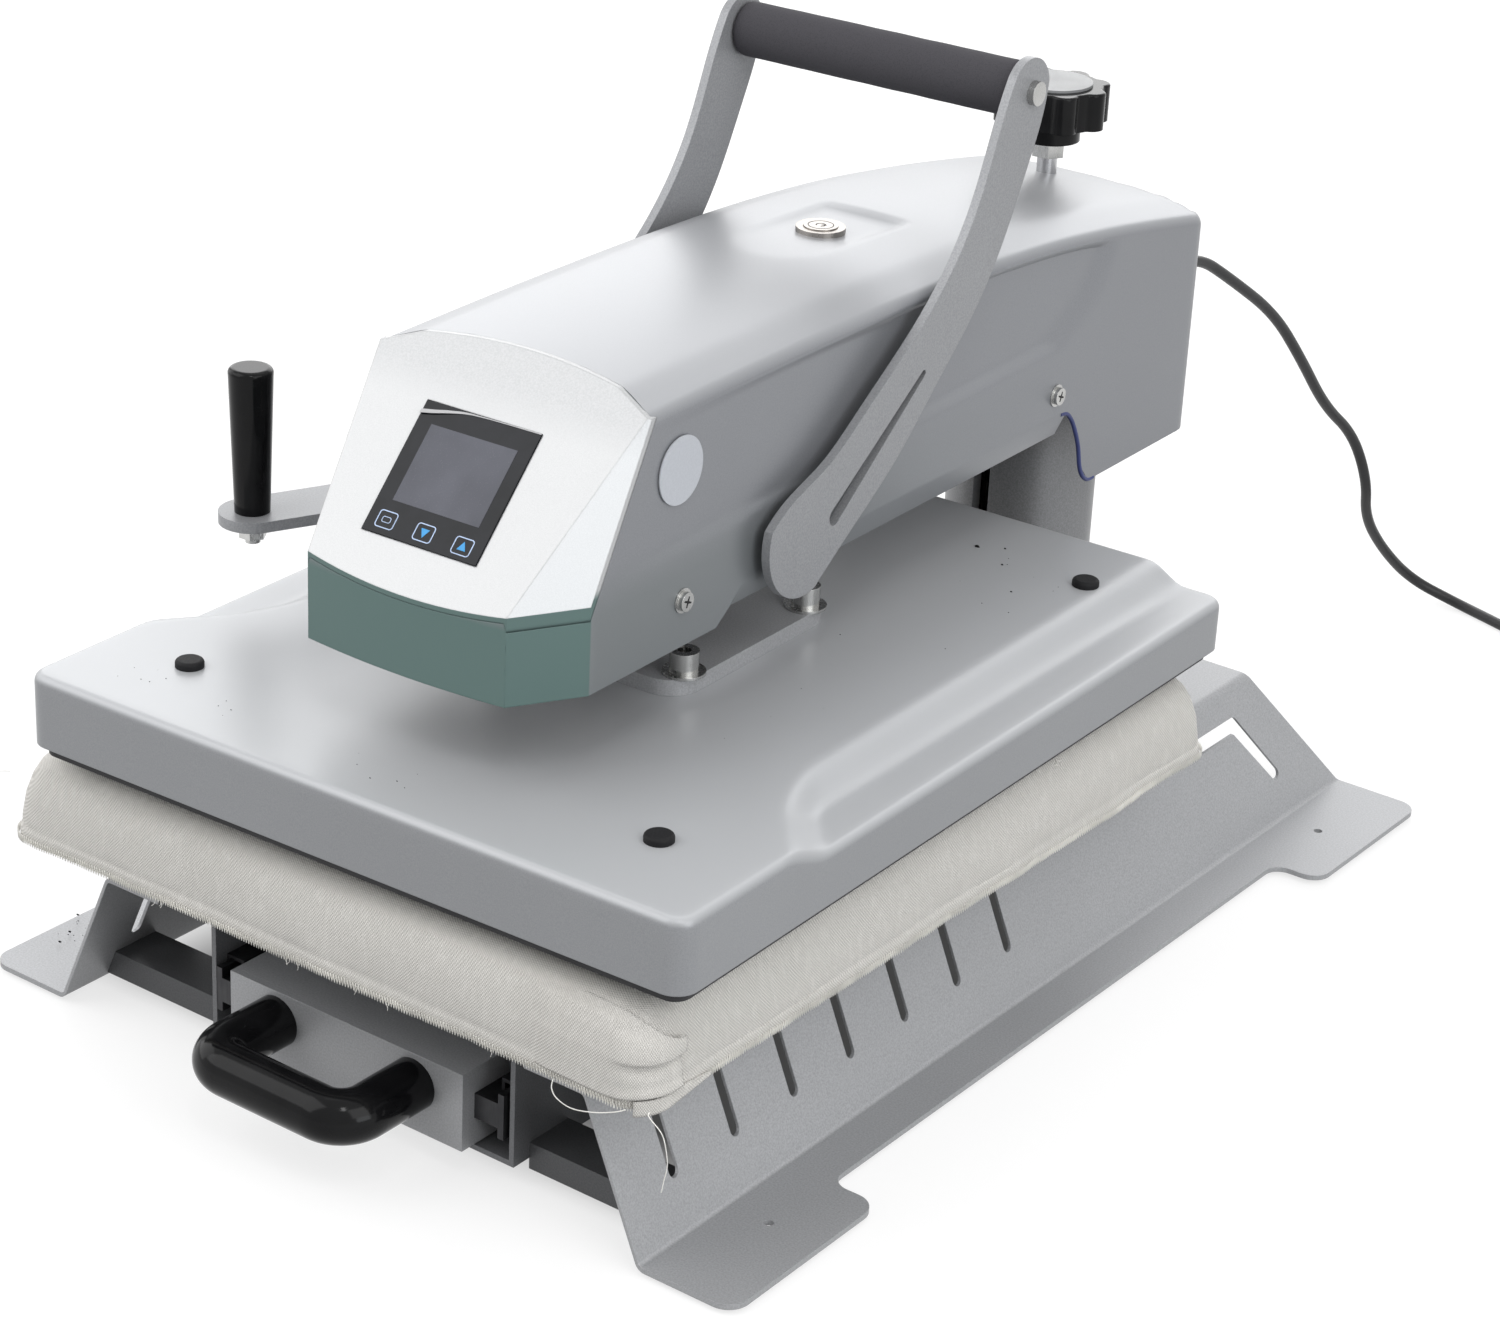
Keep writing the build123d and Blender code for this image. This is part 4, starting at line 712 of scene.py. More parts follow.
# Places past the grip, with the body's half width and half height there
plug_sections = (
    (0.0, 0.0088, 0.0088),
    (0.003, 0.0110, 0.0098),
    (0.008, 0.0128, 0.0108),
    (plug_body_l * 0.6, 0.0130, 0.0110),
    (plug_body_l - 0.003, 0.0126, 0.0106),
    (plug_body_l - 0.001, 0.0114, 0.0094),
)
# Places along a blade, with its half width there
blade_sections = ((0.0, 0.00315), (0.014, 0.00315), (0.0165, 0.0026), (0.0178, 0.0014))
blade_root = 0.002
blade_aside = 0.00635
blade_half_t = 0.0008


def make_plug(end, way):
    """A moulded mains plug: a ribbed grip that swells into a body with two flat blades."""
    flat_way = Vector((way.x, way.y, 0)).normalized()
    side = Vector((-flat_way.y, flat_way.x, 0))
    lift = floor_level + plug_body_h / 2 - end.z
    sections = [(0.0, plug_neck_r, plug_neck_r, 0.0)]
    for i in range(1, plug_grip_ribs):
        share = i / plug_grip_ribs
        swell = 0.0005 if i % 2 else -0.0004
        reach = plug_neck_r + (plug_grip_r - plug_neck_r) * share + swell
        sections.append((plug_grip_l * share, reach, reach, lift * share))
    sections += [(plug_grip_l + along, wide, high, lift) for along, wide, high in plug_sections]
    rings = []
    for along, wide, high, rise in sections:
        square = 0.5 if along > plug_grip_l else 1.0
        ring = []
        for i in range(32):
            angle = 2 * pi * i / 32
            c, s = cos(angle), sin(angle)
            x = abs(c) ** square * (1 if c > 0 else -1) * wide
            z = abs(s) ** square * (1 if s > 0 else -1) * high
            ring.append(end + flat_way * along + side * x + Vector((0, 0, z + rise)))
        rings.append(ring)
    form = bmesh.new()
    tube_of_rings(form, rings)
    plug = dress(as_object("plug_body", form, 50), "cord_jacket", "arm", ("mains_plug",))
    form = bmesh.new()
    root = plug_grip_l + plug_body_l - blade_root
    corners = ((-1, -1), (1, -1), (1, 1), (-1, 1))
    for hand in (-1, 1):
        rings = []
        for along, half in blade_sections:
            centre = end + flat_way * (root + along) + side * hand * blade_aside + Vector((0, 0, lift))
            rings.append([centre + side * a * blade_half_t + Vector((0, 0, b * half)) for a, b in corners])
        tube_of_rings(form, rings)
    return plug, dress(as_object("plug_blades", form), "zinc_steel", "arm")


cord, cord_end, cord_way = make_cord()
plug, prongs = make_plug(cord_end, cord_way)


# Carried-over CAD nodes take the material of their slot, or one of their own

OWN_MATERIALS = {
    # Rails: darkened steel, painted shade in the gap under the platen
    "outer_rails": "dark_rail",
    "inner_rails": "dark_rail",
    # Cross tubes and platen support: darker grey, painted shade under the platen
    "cross_tubes": "dark_paint",
    "platen_support": "dark_paint",
    # Slide channel: darker grey, painted shade under the platen
    "slide_channel": "channel_paint",
    "column_tube": "column_paint",
    "mounting_plate": "base_paint",
    # Heating plate: near black, partly its dark coating and partly painted shade in the gap under the cover
    "heating_plate": "hot_plate",
    "knob_disc": "knob_disc",
}

for row in frame["record"]["subparts"]:
    node = frame["nodes"][row["node"]]
    node.data.materials.clear()
    own = OWN_MATERIALS.get(row["node"], row["material_slot"])
    node.data.materials.append(MATERIALS[own].material)
    shade(node, 28)


# Cloth cover over the foam pad

platen_centre = Vector((0.0, -0.111, 0.0))
# Heights of the cloth's skin, with its half width and half length there
cloth_levels = (
    (0.1012, 0.2106, 0.2556),
    (0.1050, 0.2104, 0.2554),
    (0.1150, 0.2098, 0.2548),
    (0.1250, 0.2088, 0.2538),
    (0.1350, 0.2062, 0.2512),
    (0.1420, 0.2030, 0.2480),
    (0.1465, 0.1990, 0.2440),
    (0.1492, 0.1940, 0.2390),
    (0.1502, 0.1890, 0.2340),
    (0.1503, 0.1700, 0.2150),
    (0.1503, 0.1200, 0.1650),
    (0.1503, 0.0600, 0.1000),
)
pad_levels = (
    (0.1162, 0.2030, 0.2480),
    (0.1240, 0.2055, 0.2505),
    (0.1330, 0.2035, 0.2485),
    (0.1400, 0.2000, 0.2450),
    (0.1455, 0.1940, 0.2390),
    (0.1480, 0.1860, 0.2310),
)
pad_corner_r = 0.016
cloth_corner_r = 0.018
cloth_arc = pi / 2 * cloth_corner_r
cloth_t = 0.0011
cloth_sink = 0.0008
cloth_spacing = (150, 120)
hem_h = 0.0075
hem_low_z = 0.1008
# The hem's skin: height over its lower edge, step outwards and share of the unevenness
hem_levels = (
    (0.0006, -0.0125, 0.0),
    (0.0, -0.006, 0.5),
    (0.0002, -0.0004, 1.0),
    (0.0015, 0.0004, 1.0),
    (hem_h - 0.0015, 0.0004, 1.0),
    (hem_h - 0.0004, 0.0003, 1.0),
    (hem_h + 0.0006, -0.0004, 1.0),
    (hem_h + 0.0025, 0.0, 1.0),
)
side_line = tuple((z, half_w) for z, half_w, half_l in cloth_levels)
end_line = tuple((z, half_l) for z, half_w, half_l in cloth_levels)
# Corners of a rounded rectangle: their signs, and the angle at which their arcs start
CORNERS = ((1, -1, -pi / 2), (1, 1, 0.0), (-1, 1, pi / 2), (-1, -1, pi))


def level_way(angle):
    return Vector((cos(angle), sin(angle), 0))


def rounded_outline(half_w, half_l, r, spacing):
    """Points round a rectangle with rounded corners, evenly spaced on its sides."""
    centres = [Vector((sx * (half_w - r), sy * (half_l - r), 0)) for sx, sy, start in CORNERS]
    starts = [start for sx, sy, start in CORNERS]
    arc_steps = 8
    points = []
    for i in range(4):
        after = (i + 1) % 4
        turns = [starts[i] + pi / 2 * k / arc_steps for k in range(arc_steps + 1)]
        points += [centres[i] + level_way(turn) * r for turn in turns]
        arc_end = points[-1]
        straight_end = centres[after] + level_way(starts[after]) * r
        count = spacing[i % 2]
        points += [arc_end.lerp(straight_end, k / count) for k in range(1, count)]
    return points


def cloth_push(p, z, share):
    """Soft unevenness of the stretched cloth."""
    push = noise.noise(Vector((p.x * 22, p.y * 22, z * 30))) * 0.0016 * share
    return push + noise.noise(Vector((p.x * 70, p.y * 70, z * 90 + 7))) * 0.0005 * share


def hem_sag(p):
    """The hem's lower edge wanders up and down."""
    sag = noise.noise(Vector((p.x * 14 + 3, p.y * 14, 1.7))) * 0.0016
    return sag + noise.noise(Vector((p.x * 90, p.y * 90, 4))) * 0.0005


def cloth_spot(s, z, out):
    """A place on the cloth near its front right corner: s runs from the front round to the right side."""
    half_w = on_line(side_line, z)
    half_l = on_line(end_line, z)
    r = cloth_corner_r
    if s < 0:
        spot = Vector((half_w - r + s, -half_l, 0))
        normal = Vector((0, -1, 0))
    elif s < cloth_arc:
        normal = level_way(s / r - pi / 2)
        spot = Vector((half_w - r, -half_l + r, 0)) + normal * r
    else:
        spot = Vector((half_w, -half_l + r + s - cloth_arc, 0))
        normal = Vector((1, 0, 0))
    return platen_centre + spot + normal * out + Vector((0, 0, z))


fold_low_s = -0.060
fold_high_s = cloth_arc + 0.0075
fold_columns = 64
fold_rows = 40


def fold_spot(share, climb):
    """A place on the folded corner, by its shares of the way round and of the way up."""
    s = fold_low_s + (fold_high_s - fold_low_s) * share
    top = 0.1460 - 0.0135 * smooth((s - 0.004) / 0.03)
    low = 0.1045 + 0.0035 * smooth((s + 0.01) / 0.03)
    z = low + (top - low) * climb
    lift = smooth((s - fold_low_s) / 0.075)
    crease = 0.1222 + 0.003 * share
    near = smooth((s + 0.006) / 0.026)
    under = smooth((crease - z) / 0.0012) * smooth((z - crease + 0.0095) / 0.0085)
    roll = max(0.0, 1 - ((z - crease - 0.005) / 0.009) ** 2)
    out = 0.0004 + 0.0014 * lift + near * (0.0030 * roll - 0.0016 * under)
    out += 0.0012 * near * smooth((low + 0.006 - z) / 0.005)
    out = max(0.0003, out) - 0.0024 * (1 - smooth((s - fold_low_s) / 0.022))
    out -= 0.0020 * smooth((z - top + 0.006) / 0.006) * (1 - smooth((s + 0.004) / 0.012))
    return cloth_spot(s, z, out)


def strip_spot(share, climb):
    """A place on the side panel's hem, folded up flat under the corner."""
    low = hem_low_z - 0.0026 + 0.004 * share
    high = low + 0.0078 * (1 - share**2 * 0.8)
    out = 0.0024 * (1 - share * 0.7) - 0.0004 * climb
    return cloth_spot(cloth_arc * 0.35 + 0.050 * share, low + (high - low) * climb, out)


def sheet_of(form, spot, columns, rows):
    """A sheet whose places are a function of two shares."""
    grid_of(form, [[spot(i / columns, j / rows) for i in range(columns + 1)] for j in range(rows + 1)])


def make_cloth():
    """The cover's skin with its hem, a corner folded like a parcel's and the strip under it."""
    rings = []
    for height, out, share in hem_levels:
        z = hem_low_z + height
        rings.append((z, on_line(side_line, z) + out, on_line(end_line, z) + out, share, height < hem_h))
    for level, (z, half_w, half_l) in enumerate(cloth_levels):
        if z > hem_low_z + hem_h + 0.004:
            rings.append((z, half_w, half_l, max(0.0, 1 - level / 7), False))
    skin = []
    for z, half_w, half_l, share, sags in rings:
        ring = []
        for p in rounded_outline(half_w, half_l, min(cloth_corner_r, half_w * 0.3), cloth_spacing):
            out = Vector((p.x, p.y, 0)).normalized()
            height = z + (hem_sag(p) if sags else 0.0)
            push = cloth_push(p, z, share) - cloth_sink
            ring.append(platen_centre + p + out * push + Vector((0, 0, height)))
        skin.append(ring)
    form = bmesh.new()
    tube_of_rings(form, skin, closed_start=False)
    bmesh.ops.recalc_face_normals(form, faces=form.faces)
    sheet_of(form, fold_spot, fold_columns, fold_rows)
    sheet_of(form, strip_spot, 30, 6)
    cloth = shade(linked("cloth_cover", form), 60)
    thick = cloth.modifiers.new("thickness", "SOLIDIFY")
    thick.thickness = cloth_t
    thick.offset = -1.0
    return dress(cloth, "canvas", "drawer", ("platen_cloth",))


stitch_pitch = 0.0017
stitch_low = 0.0003
stitch_high = 0.0044
stitch_out = 0.0009
stitch_sink = 0.0003
stitch_r = 0.00033


def make_hem_stitches():
    """Overlock stitching: a zigzag of pale thread round the hem's edge."""
    half_w, half_l = side_line[0][1] + stitch_out, end_line[0][1] + stitch_out
    outline = rounded_outline(half_w, half_l, cloth_corner_r, cloth_spacing)
    points = []
    carried = 0.0
    up = False
    for a, b in zip(outline, outline[1:] + outline[:1]):
        length = (b - a).length
        while carried < length:
            p = a.lerp(b, carried / length)
            out = Vector((p.x, p.y, 0)).normalized()
            z = hem_low_z + (stitch_high if up else stitch_low) + hem_sag(p)
            points.append(platen_centre + p + out * (cloth_push(p, z, 1.0) - stitch_sink) + Vector((0, 0, z)))
            up = not up
            carried += stitch_pitch / 2 * (1 + 0.25 * noise.noise(p * 300))
        carried -= length
    form = bmesh.new()
    thin_tube(form, points, stitch_r, 5)
    dress(as_object("hem_stitches", form, 60), "thread", "drawer")


# Loose threads at the hem's front: radius, parts between points, and the points
THREADS = (
    (0.00028, 12, (
        (0.1573, -0.3675, 0.1012),
        (0.1575, -0.3688, 0.0970),
        (0.1610, -0.3690, 0.0928),
        (0.1700, -0.3690, 0.0910),
        (0.1828, -0.3688, 0.0940),
        (0.1943, -0.3685, 0.0987),
        (0.2000, -0.3672, 0.1016),
    )),
    (0.00026, 12, (
        (0.2125, -0.3655, 0.1045),
        (0.2144, -0.3682, 0.1040),
        (0.2224, -0.3686, 0.0983),
        (0.2257, -0.3688, 0.0890),
        (0.2262, -0.3688, 0.0820),
        (0.2246, -0.3686, 0.0745),
        (0.2233, -0.3685, 0.0675),
    )),
    (0.00022, 10, (
        (-0.2040, -0.3680, 0.1400),
        (-0.2100, -0.3700, 0.1385),
        (-0.2135, -0.3700, 0.1340),
        (-0.2140, -0.3690, 0.1290),
    )),
)
short_threads = 10
short_thread_x = (-0.19, 0.2)
short_thread_y = -0.3672
short_thread_drop = (0.002, 0.004)
short_thread_lean = (-0.003, 0.003)
short_thread_r = 0.00014


def make_loose_threads():
    form = bmesh.new()
    for radius, parts, points in THREADS:
        thin_tube(form, smooth_path(points, parts), radius)
    for i in range(short_threads):
        chance = random.Random(i + 3)
        start = Vector((chance.uniform(*short_thread_x), short_thread_y, hem_low_z + 0.001))
        drop = chance.uniform(*short_thread_drop)
        lean = chance.uniform(*short_thread_lean)
        end = start + Vector((lean, -0.0006, -drop))
        bowed = start.lerp(end, 0.5) + Vector((0.0006, 0, 0))
        thin_tube(form, smooth_path([start, bowed, end], 4), short_thread_r, 5)
    dress(as_object("loose_threads", form, 60), "thread", "drawer")


def make_foam_pad():
    rings = []
    for z, half_w, half_l in pad_levels:
        outline = rounded_outline(half_w, half_l, pad_corner_r, (24, 20))
        rings.append([platen_centre + p + Vector((0, 0, z)) for p in outline])
    form = bmesh.new()
    tube_of_rings(form, rings)
    return dress(as_object("foam_pad_form", form, 60), "silicone_foam", "drawer", ("foam_pad",))


cloth = make_cloth()
make_hem_stitches()
make_loose_threads()
pad = make_foam_pad()


# Lever grip: a foam sleeve with rounded, slightly squashed ends

grip_half_l = 0.0885
grip_axis = (0.0, 0.078, 0.470)
grip_r = 0.0150
grip_steps = 40
# Steps in from the sleeve's end, with its radius there
grip_end = ((0.0, 0.0075), (0.0, 0.0128), (0.0008, 0.0142), (0.0025, 0.0149))


def make_grip():
    profile = [(-grip_half_l + inset, radius) for inset, radius in grip_end]
    straight = grip_half_l - grip_end[-1][0]
    for i in range(1, grip_steps):
        x = -straight + 2 * straight * i / grip_steps
        profile.append((x, grip_r + noise.noise(Vector((x * 60, 0.3, 0.0))) * 0.00018))
    profile += [(grip_half_l - inset, radius) for inset, radius in grip_end[::-1]]
    form = bmesh.new()
    turned_form(form, profile, grip_axis, (1, 0, 0), 64)
    dress(as_object("lever_foam_grip", form, 50, turned=True), "grip_foam", "lever", ("foam_grip",))


make_grip()


# Shapes that the head's own pieces share

head_half_w = 0.083
head_low_z = 0.247
head_front_y = -0.315
head_front_half = 0.061
head_front_bow = 0.004
head_chamfer_y = -0.279
head_rear_y = 0.318
head_rear_corner_r = 0.015
head_rear_flat_y = head_rear_y - head_rear_corner_r
roof_rear_r = 0.040
roof_rear_arc_y = head_rear_y - roof_rear_r
roof_arch_x = 0.059
roof_arch_drop = 0.004
roof_blend_x = 0.040
roof_side_drop = 0.012
fold_r = 0.008
fascia_low = Vector((0, -0.315, 0.293))
fascia_high = Vector((0, -0.233, 0.380))
facet_apex = Vector((0.083, -0.236, 0.374))
fascia_t = 0.002
head_wall = 0.002
roof_line = (
    (-0.330, 0.384),
    (-0.231, 0.387),
    (-0.100, 0.389),
    (0.029, 0.388),
    (0.126, 0.383),
    (0.200, 0.375),
    (0.267, 0.365),
    (0.330, 0.354),
)
bottom_line = (
    (-0.330, head_low_z),
    (-0.175, head_low_z),
    (-0.150, 0.265),
    (0.154, 0.265),
    (0.166, 0.263),
    (0.174, 0.255),
    (0.182, 0.240),
    (0.186, 0.226),
    (0.196, 0.214),
    (0.330, 0.214),
)
lip_y = (-0.160, 0.162)
lip_in = 0.0055
lip_low_z = 0.251
nose_top_z = 0.300
nose_rows = 14
nose_columns = 24
stamp_depth = 0.0036
stamp_front_y = -0.262
stamp_fade_l = 0.3
stamp_low_line = ((-0.262, 0.2985), (0.154, 0.3035))
stamp_inner_low_line = ((-0.262, 0.3005), (-0.142, 0.3055), (0.015, 0.3125), (0.132, 0.3165))
stamp_rear_outer = ((0.3035, 0.154), (0.3246, 0.1915), (0.345, 0.204), (0.3636, 0.2106), (0.380, 0.213))
stamp_rear_inner = (
    (0.3035, 0.112),
    (0.3165, 0.132),
    (0.332, 0.1625),
    (0.350, 0.184),
    (0.3664, 0.1988),
    (0.380, 0.203),
)
recess_half_w = 0.025
recess_y = (-0.040, 0.070)
recess_z = (0.3892, 0.3835)
recess_edge = 0.0035


def stamp(y, z):
    """How far the side of the head is pressed in."""
    outer_low = on_line(stamp_low_line, y)
    low = (z - outer_low) / max(0.0015, on_line(stamp_inner_low_line, y) - outer_low)
    outer = on_curve(stamp_rear_outer, z)
    rear = (outer - y) / (outer - on_curve(stamp_rear_inner, z))
    share = min(1.0, max(0.0, (y - stamp_front_y) / stamp_fade_l))
    return stamp_depth * share * smooth(min(low, rear))


def recess(x, y, z):
    """The roof's height once its shallow recess is pressed in round the button."""
    floor = on_line(tuple(zip(recess_y, recess_z)), y)
    inside = min(recess_half_w - abs(x), y - recess_y[0], recess_y[1] - y)
    return z + (min(z, floor) - z) * smooth(inside / recess_edge + 0.5)


def arc_height(into, r):
    """The height of a quarter round over its centre, at a place along it."""
    return sqrt(max(0.0, r**2 - into**2))


def head_section(y):
    """The head's outline at a place along it, from the right side's foot over the roof to the left side's."""
    w = on_line(((head_front_y, head_front_half), (head_chamfer_y, head_half_w)), y)
    if y > head_rear_flat_y:
        w = head_half_w - head_rear_corner_r + arc_height(y - head_rear_flat_y, head_rear_corner_r)
    top = ceiling = on_curve(roof_line, y)
    if y > roof_rear_arc_y:
        arc_z = on_curve(roof_line, roof_rear_arc_y) - roof_rear_r
        ceiling = arc_z + arc_height(y - roof_rear_arc_y, roof_rear_r)
    low = on_line(bottom_line, y)
    fold = Vector((w, top - roof_side_drop))
    slope = (Vector((roof_arch_x, top - roof_arch_drop)) - fold).normalized()
    if w - roof_arch_x < 0.004:
        slope = Vector((-0.95, 0.31))
    turn = slope.angle(Vector((0, 1)))
    side_top = fold.y - fold_r * sin(turn / 2) / cos(turn / 2)
    side_rows = 44
    points = [(w, low + (side_top - low) * i / side_rows) for i in range(side_rows + 1)]
    centre = Vector((w - fold_r, side_top))
    fold_steps = 7
    for i in range(1, fold_steps + 1):
        angle = turn * i / fold_steps
        points.append((centre.x + fold_r * cos(angle), centre.y + fold_r * sin(angle)))
    start = Vector(points[-1])
    roof_steps = 22
    for i in range(1, roof_steps + 1):
        x = start.x * (1 - i / roof_steps)
        arch = top - roof_arch_drop * (x / roof_arch_x) ** 2
        share = smooth((x - roof_blend_x) / max(0.001, start.x - roof_blend_x))
        line = start.y + (start.x - x) * (-slope.y / slope.x)
        points.append((x, arch * (1 - share) + min(arch, line) * share))
    shaped = []
    for x, z in points:
        z = min(z, ceiling)
        if z > 0.36 and recess_y[0] - 0.01 < y < recess_y[1] + 0.01 and x < 0.05:
            z = recess(x, y, z)
        if x > w - 0.0005 and y < head_rear_flat_y:
            x -= stamp(y, z) * smooth((side_top - z) / 0.004 + 0.3)
        shaped.append((x, z))
    return shaped + [(-x, z) for x, z in shaped[-2::-1]]


def plane_cut(form, at, normal):
    """Cuts away what lies past a plane."""
    everything = form.verts[:] + form.edges[:] + form.faces[:]
    bmesh.ops.bisect_plane(form, geom=everything, dist=1e-6, plane_co=at, plane_no=normal, clear_outer=True)


def facet_plane(hand):
    corner = Vector((hand * head_front_half, head_front_y, fascia_low.z))
    outer = Vector((hand * head_half_w, head_chamfer_y, fascia_low.z))
    apex = Vector((hand * facet_apex.x, facet_apex.y, facet_apex.z))
    normal = (outer - corner).cross(apex - corner).normalized()
    return corner, normal if normal.x * hand > 0 else -normal


def fascia_plane():
    way = (fascia_high - fascia_low).normalized()
    return fascia_low, Vector((0, -way.z, way.y))


def settled(piece):
    """The piece's modifiers are made part of its mesh."""
    graph = bpy.context.evaluated_depsgraph_get()
    mesh = bpy.data.meshes.new_from_object(piece.evaluated_get(graph))
    piece.modifiers.clear()
    piece.data = mesh
    return piece


def sheet_metal(name, form, thickness):
    """A pressed sheet, thickened inwards from the form of its outer face."""
    bmesh.ops.recalc_face_normals(form, faces=form.faces)
    if max(form.faces, key=lambda face: face.calc_center_median().z).normal.z < 0:
        bmesh.ops.reverse_faces(form, faces=form.faces)
    piece = linked(name, form)
    shell = piece.modifiers.new("thickness", "SOLIDIFY")
    shell.thickness = thickness
    shell.offset = -1.0
    shell.use_even_offset = True
    return settled(piece)


def bore(piece, name, centres, way, radius, reach, steps=40):
    """Cuts holes through a piece, with a round bar at each centre."""
    form = bmesh.new()
    for centre in centres:
        turned_form(form, ((-reach, radius), (reach, radius)), centre, way, steps)
    cutter = as_object(name, form)
    taken = piece.modifiers.new("cut", "BOOLEAN")
    taken.operation = "DIFFERENCE"
    taken.solver = "EXACT"
    taken.object = cutter
    settled(piece)
    bpy.data.objects.remove(cutter)


def close_rear(form, last):
    """Closes the head's rear across its last outline."""
    count = len(last)
    for i in range(count // 2):
        j = count - 1 - i
        if j - 1 > i + 1:
            form.faces.new((last[i], last[i + 1], last[j - 1], last[j]))
        elif j - 1 == i + 1:
            form.faces.new((last[i], last[i + 1], last[j]))


def nose_row(z):
    spots = [1 - 2 * column / nose_columns for column in range(nose_columns + 1)]
    return [(head_front_half * x, head_front_y - head_front_bow * (1 - x**2), z) for x in spots]


def add_lips(form, rings, places):
    """The sides' lower edges fold in between the lip's two ends."""
    for hand, edge in ((1, 0), (-1, -1)):
        for k in range(len(places) - 1):
            if lip_y[0] - 1e-6 <= places[k] and places[k + 1] <= lip_y[1] + 1e-6:
                upper = (rings[k][edge], rings[k + 1][edge])
                lower = []
                for y, vertex in zip(places[k:k + 2], upper):
                    low_z = min(vertex.co.z, lip_low_z)
                    lower.append(form.verts.new((hand * (head_half_w - lip_in), y, low_z)))
                form.faces.new((upper[0], upper[1], lower[1], lower[0]))


# Holes through the head: their cutter, centres, way, radius, reach and steps
slot_half = 0.0025
screw_slot = tuple((0, column_axis.y + hand * slot_half, 0.370) for hand in (-1, 1))
HEAD_HOLES = (
    ("slot_cutter", screw_slot, (0, 0, 1), 0.0075, 0.03),
    ("button_cutter", ((0, 0.027, 0.386),), (0, 0, 1), 0.0112, 0.03, 48),
    ("gland_cutter", ((0.052, head_rear_y, 0.3005),), (0, 1, 0), 0.008, 0.02),
    ("shaft_cutter", ((0, -0.111, 0.276),), (1, 0, 0), 0.0106, 0.1),
)


def make_head():
    marks = [head_front_y, head_chamfer_y, -0.175, lip_y[0], -0.150, 0.0, 0.154, lip_y[1]]
    marks += [0.166, 0.174, 0.182, 0.186, 0.196, roof_rear_arc_y]
    places = stations(marks, 0.005)
    arc_steps = 12
    places += [roof_rear_arc_y + roof_rear_r * sin(pi / 2 * i / arc_steps) for i in range(1, arc_steps + 1)]
    form = bmesh.new()
    rings = grid_of(form, [[(x, y, z) for x, z in head_section(y)] for y in places])
    close_rear(form, rings[-1])
    rise = nose_top_z - head_low_z
    grid_of(form, [nose_row(head_low_z + rise * row / nose_rows) for row in range(nose_rows + 1)])
    add_lips(form, rings, places)
    for at, normal in (fascia_plane(), facet_plane(-1), facet_plane(1)):
        plane_cut(form, at - normal * fascia_t, normal)
    bmesh.ops.remove_doubles(form, verts=form.verts, dist=0.0004)
    head = sheet_metal("head_cover_form", form, head_wall)
    for hole in HEAD_HOLES:
        bore(head, *hole)
    head.data.transform(HEAD_TURN)
    dress(shade(head, 40), "head_paint", "arm", ("head_cover",))


make_head()


# Heat cover: a pressed sheet with a shelf along each side

cover_centre_y = -0.111
cover_half_w = 0.205
cover_half_l = 0.255
cover_low_z = 0.164
cover_top_z = 0.203
cover_wall = 0.0015
cover_corner_r = 0.012
cover_edge_r = 0.005
cover_ring_step = 0.004
shelf_depth = 0.010
shelf_blend = 0.024
shelf_corner_r = 0.026
shelf_side_x = 0.1555
shelf_corner = Vector((0.158, -0.229))
shelf_slant = Vector((0.051, -0.063)).normalized()


def shelf_drop(x, y):
    """How far the cover's top is pressed down at a place."""
    aside = abs(x)
    side_way = aside - shelf_side_x
    front_way = (Vector((aside, y)) - shelf_corner).dot(Vector((-shelf_slant.y, shelf_slant.x)))
    inside = min(side_way, front_way)
    short = (max(0.0, shelf_corner_r - side_way), max(0.0, shelf_corner_r - front_way))
    if min(short) > 0:
        inside = shelf_corner_r - hypot(*short)
    return shelf_depth * smooth(inside / shelf_blend)


def make_heat_cover():
    """Rings of the skin from the skirt's foot, over the rounded edge and in across the top."""
    skirt_rows = 8
    round_steps = 6
    levels = [(0.0, i / skirt_rows, 0.0) for i in range(skirt_rows + 1)]
    for i in range(1, round_steps + 1):
        angle = pi / 2 * i / round_steps
        levels.append((cover_edge_r * (1 - cos(angle)), 1.0, cover_edge_r * sin(angle)))
    inset = cover_edge_r
    while inset < cover_half_w - 0.006:
        inset += cover_ring_step
        levels.append((inset, 1.0, cover_edge_r))
    rings = []
    for inset, climb, rise in levels:
        r = max(0.001, cover_corner_r - inset)
        ring = []
        for p in rounded_outline(cover_half_w - inset, cover_half_l - inset, r, (120, 100)):
            x, y = p.x, p.y + cover_centre_y
            edge_z = cover_top_z - shelf_drop(x, y) - cover_edge_r
            ring.append((x, y, cover_low_z + (edge_z - cover_low_z) * climb + rise))
        rings.append(ring)
    form = bmesh.new()
    tube_of_rings(form, rings, closed_start=False)
    cover = sheet_metal("heat_cover_form", form, cover_wall)
    cover.data.transform(HEAD_TURN)
    dress(shade(cover, 40), "cover_paint", "platen", ("heat_cover",))


make_heat_cover()


# Display: a screen and three lit touch keys under its glass, and a film that lifts at one corner

display_w = 0.070
screen_outline = ((0.13, 0.16), (0.885, 0.16), (0.885, 0.747), (0.13, 0.747))
key_spots = ((0.162, 0.892), (0.497, 0.898), (0.836, 0.903))
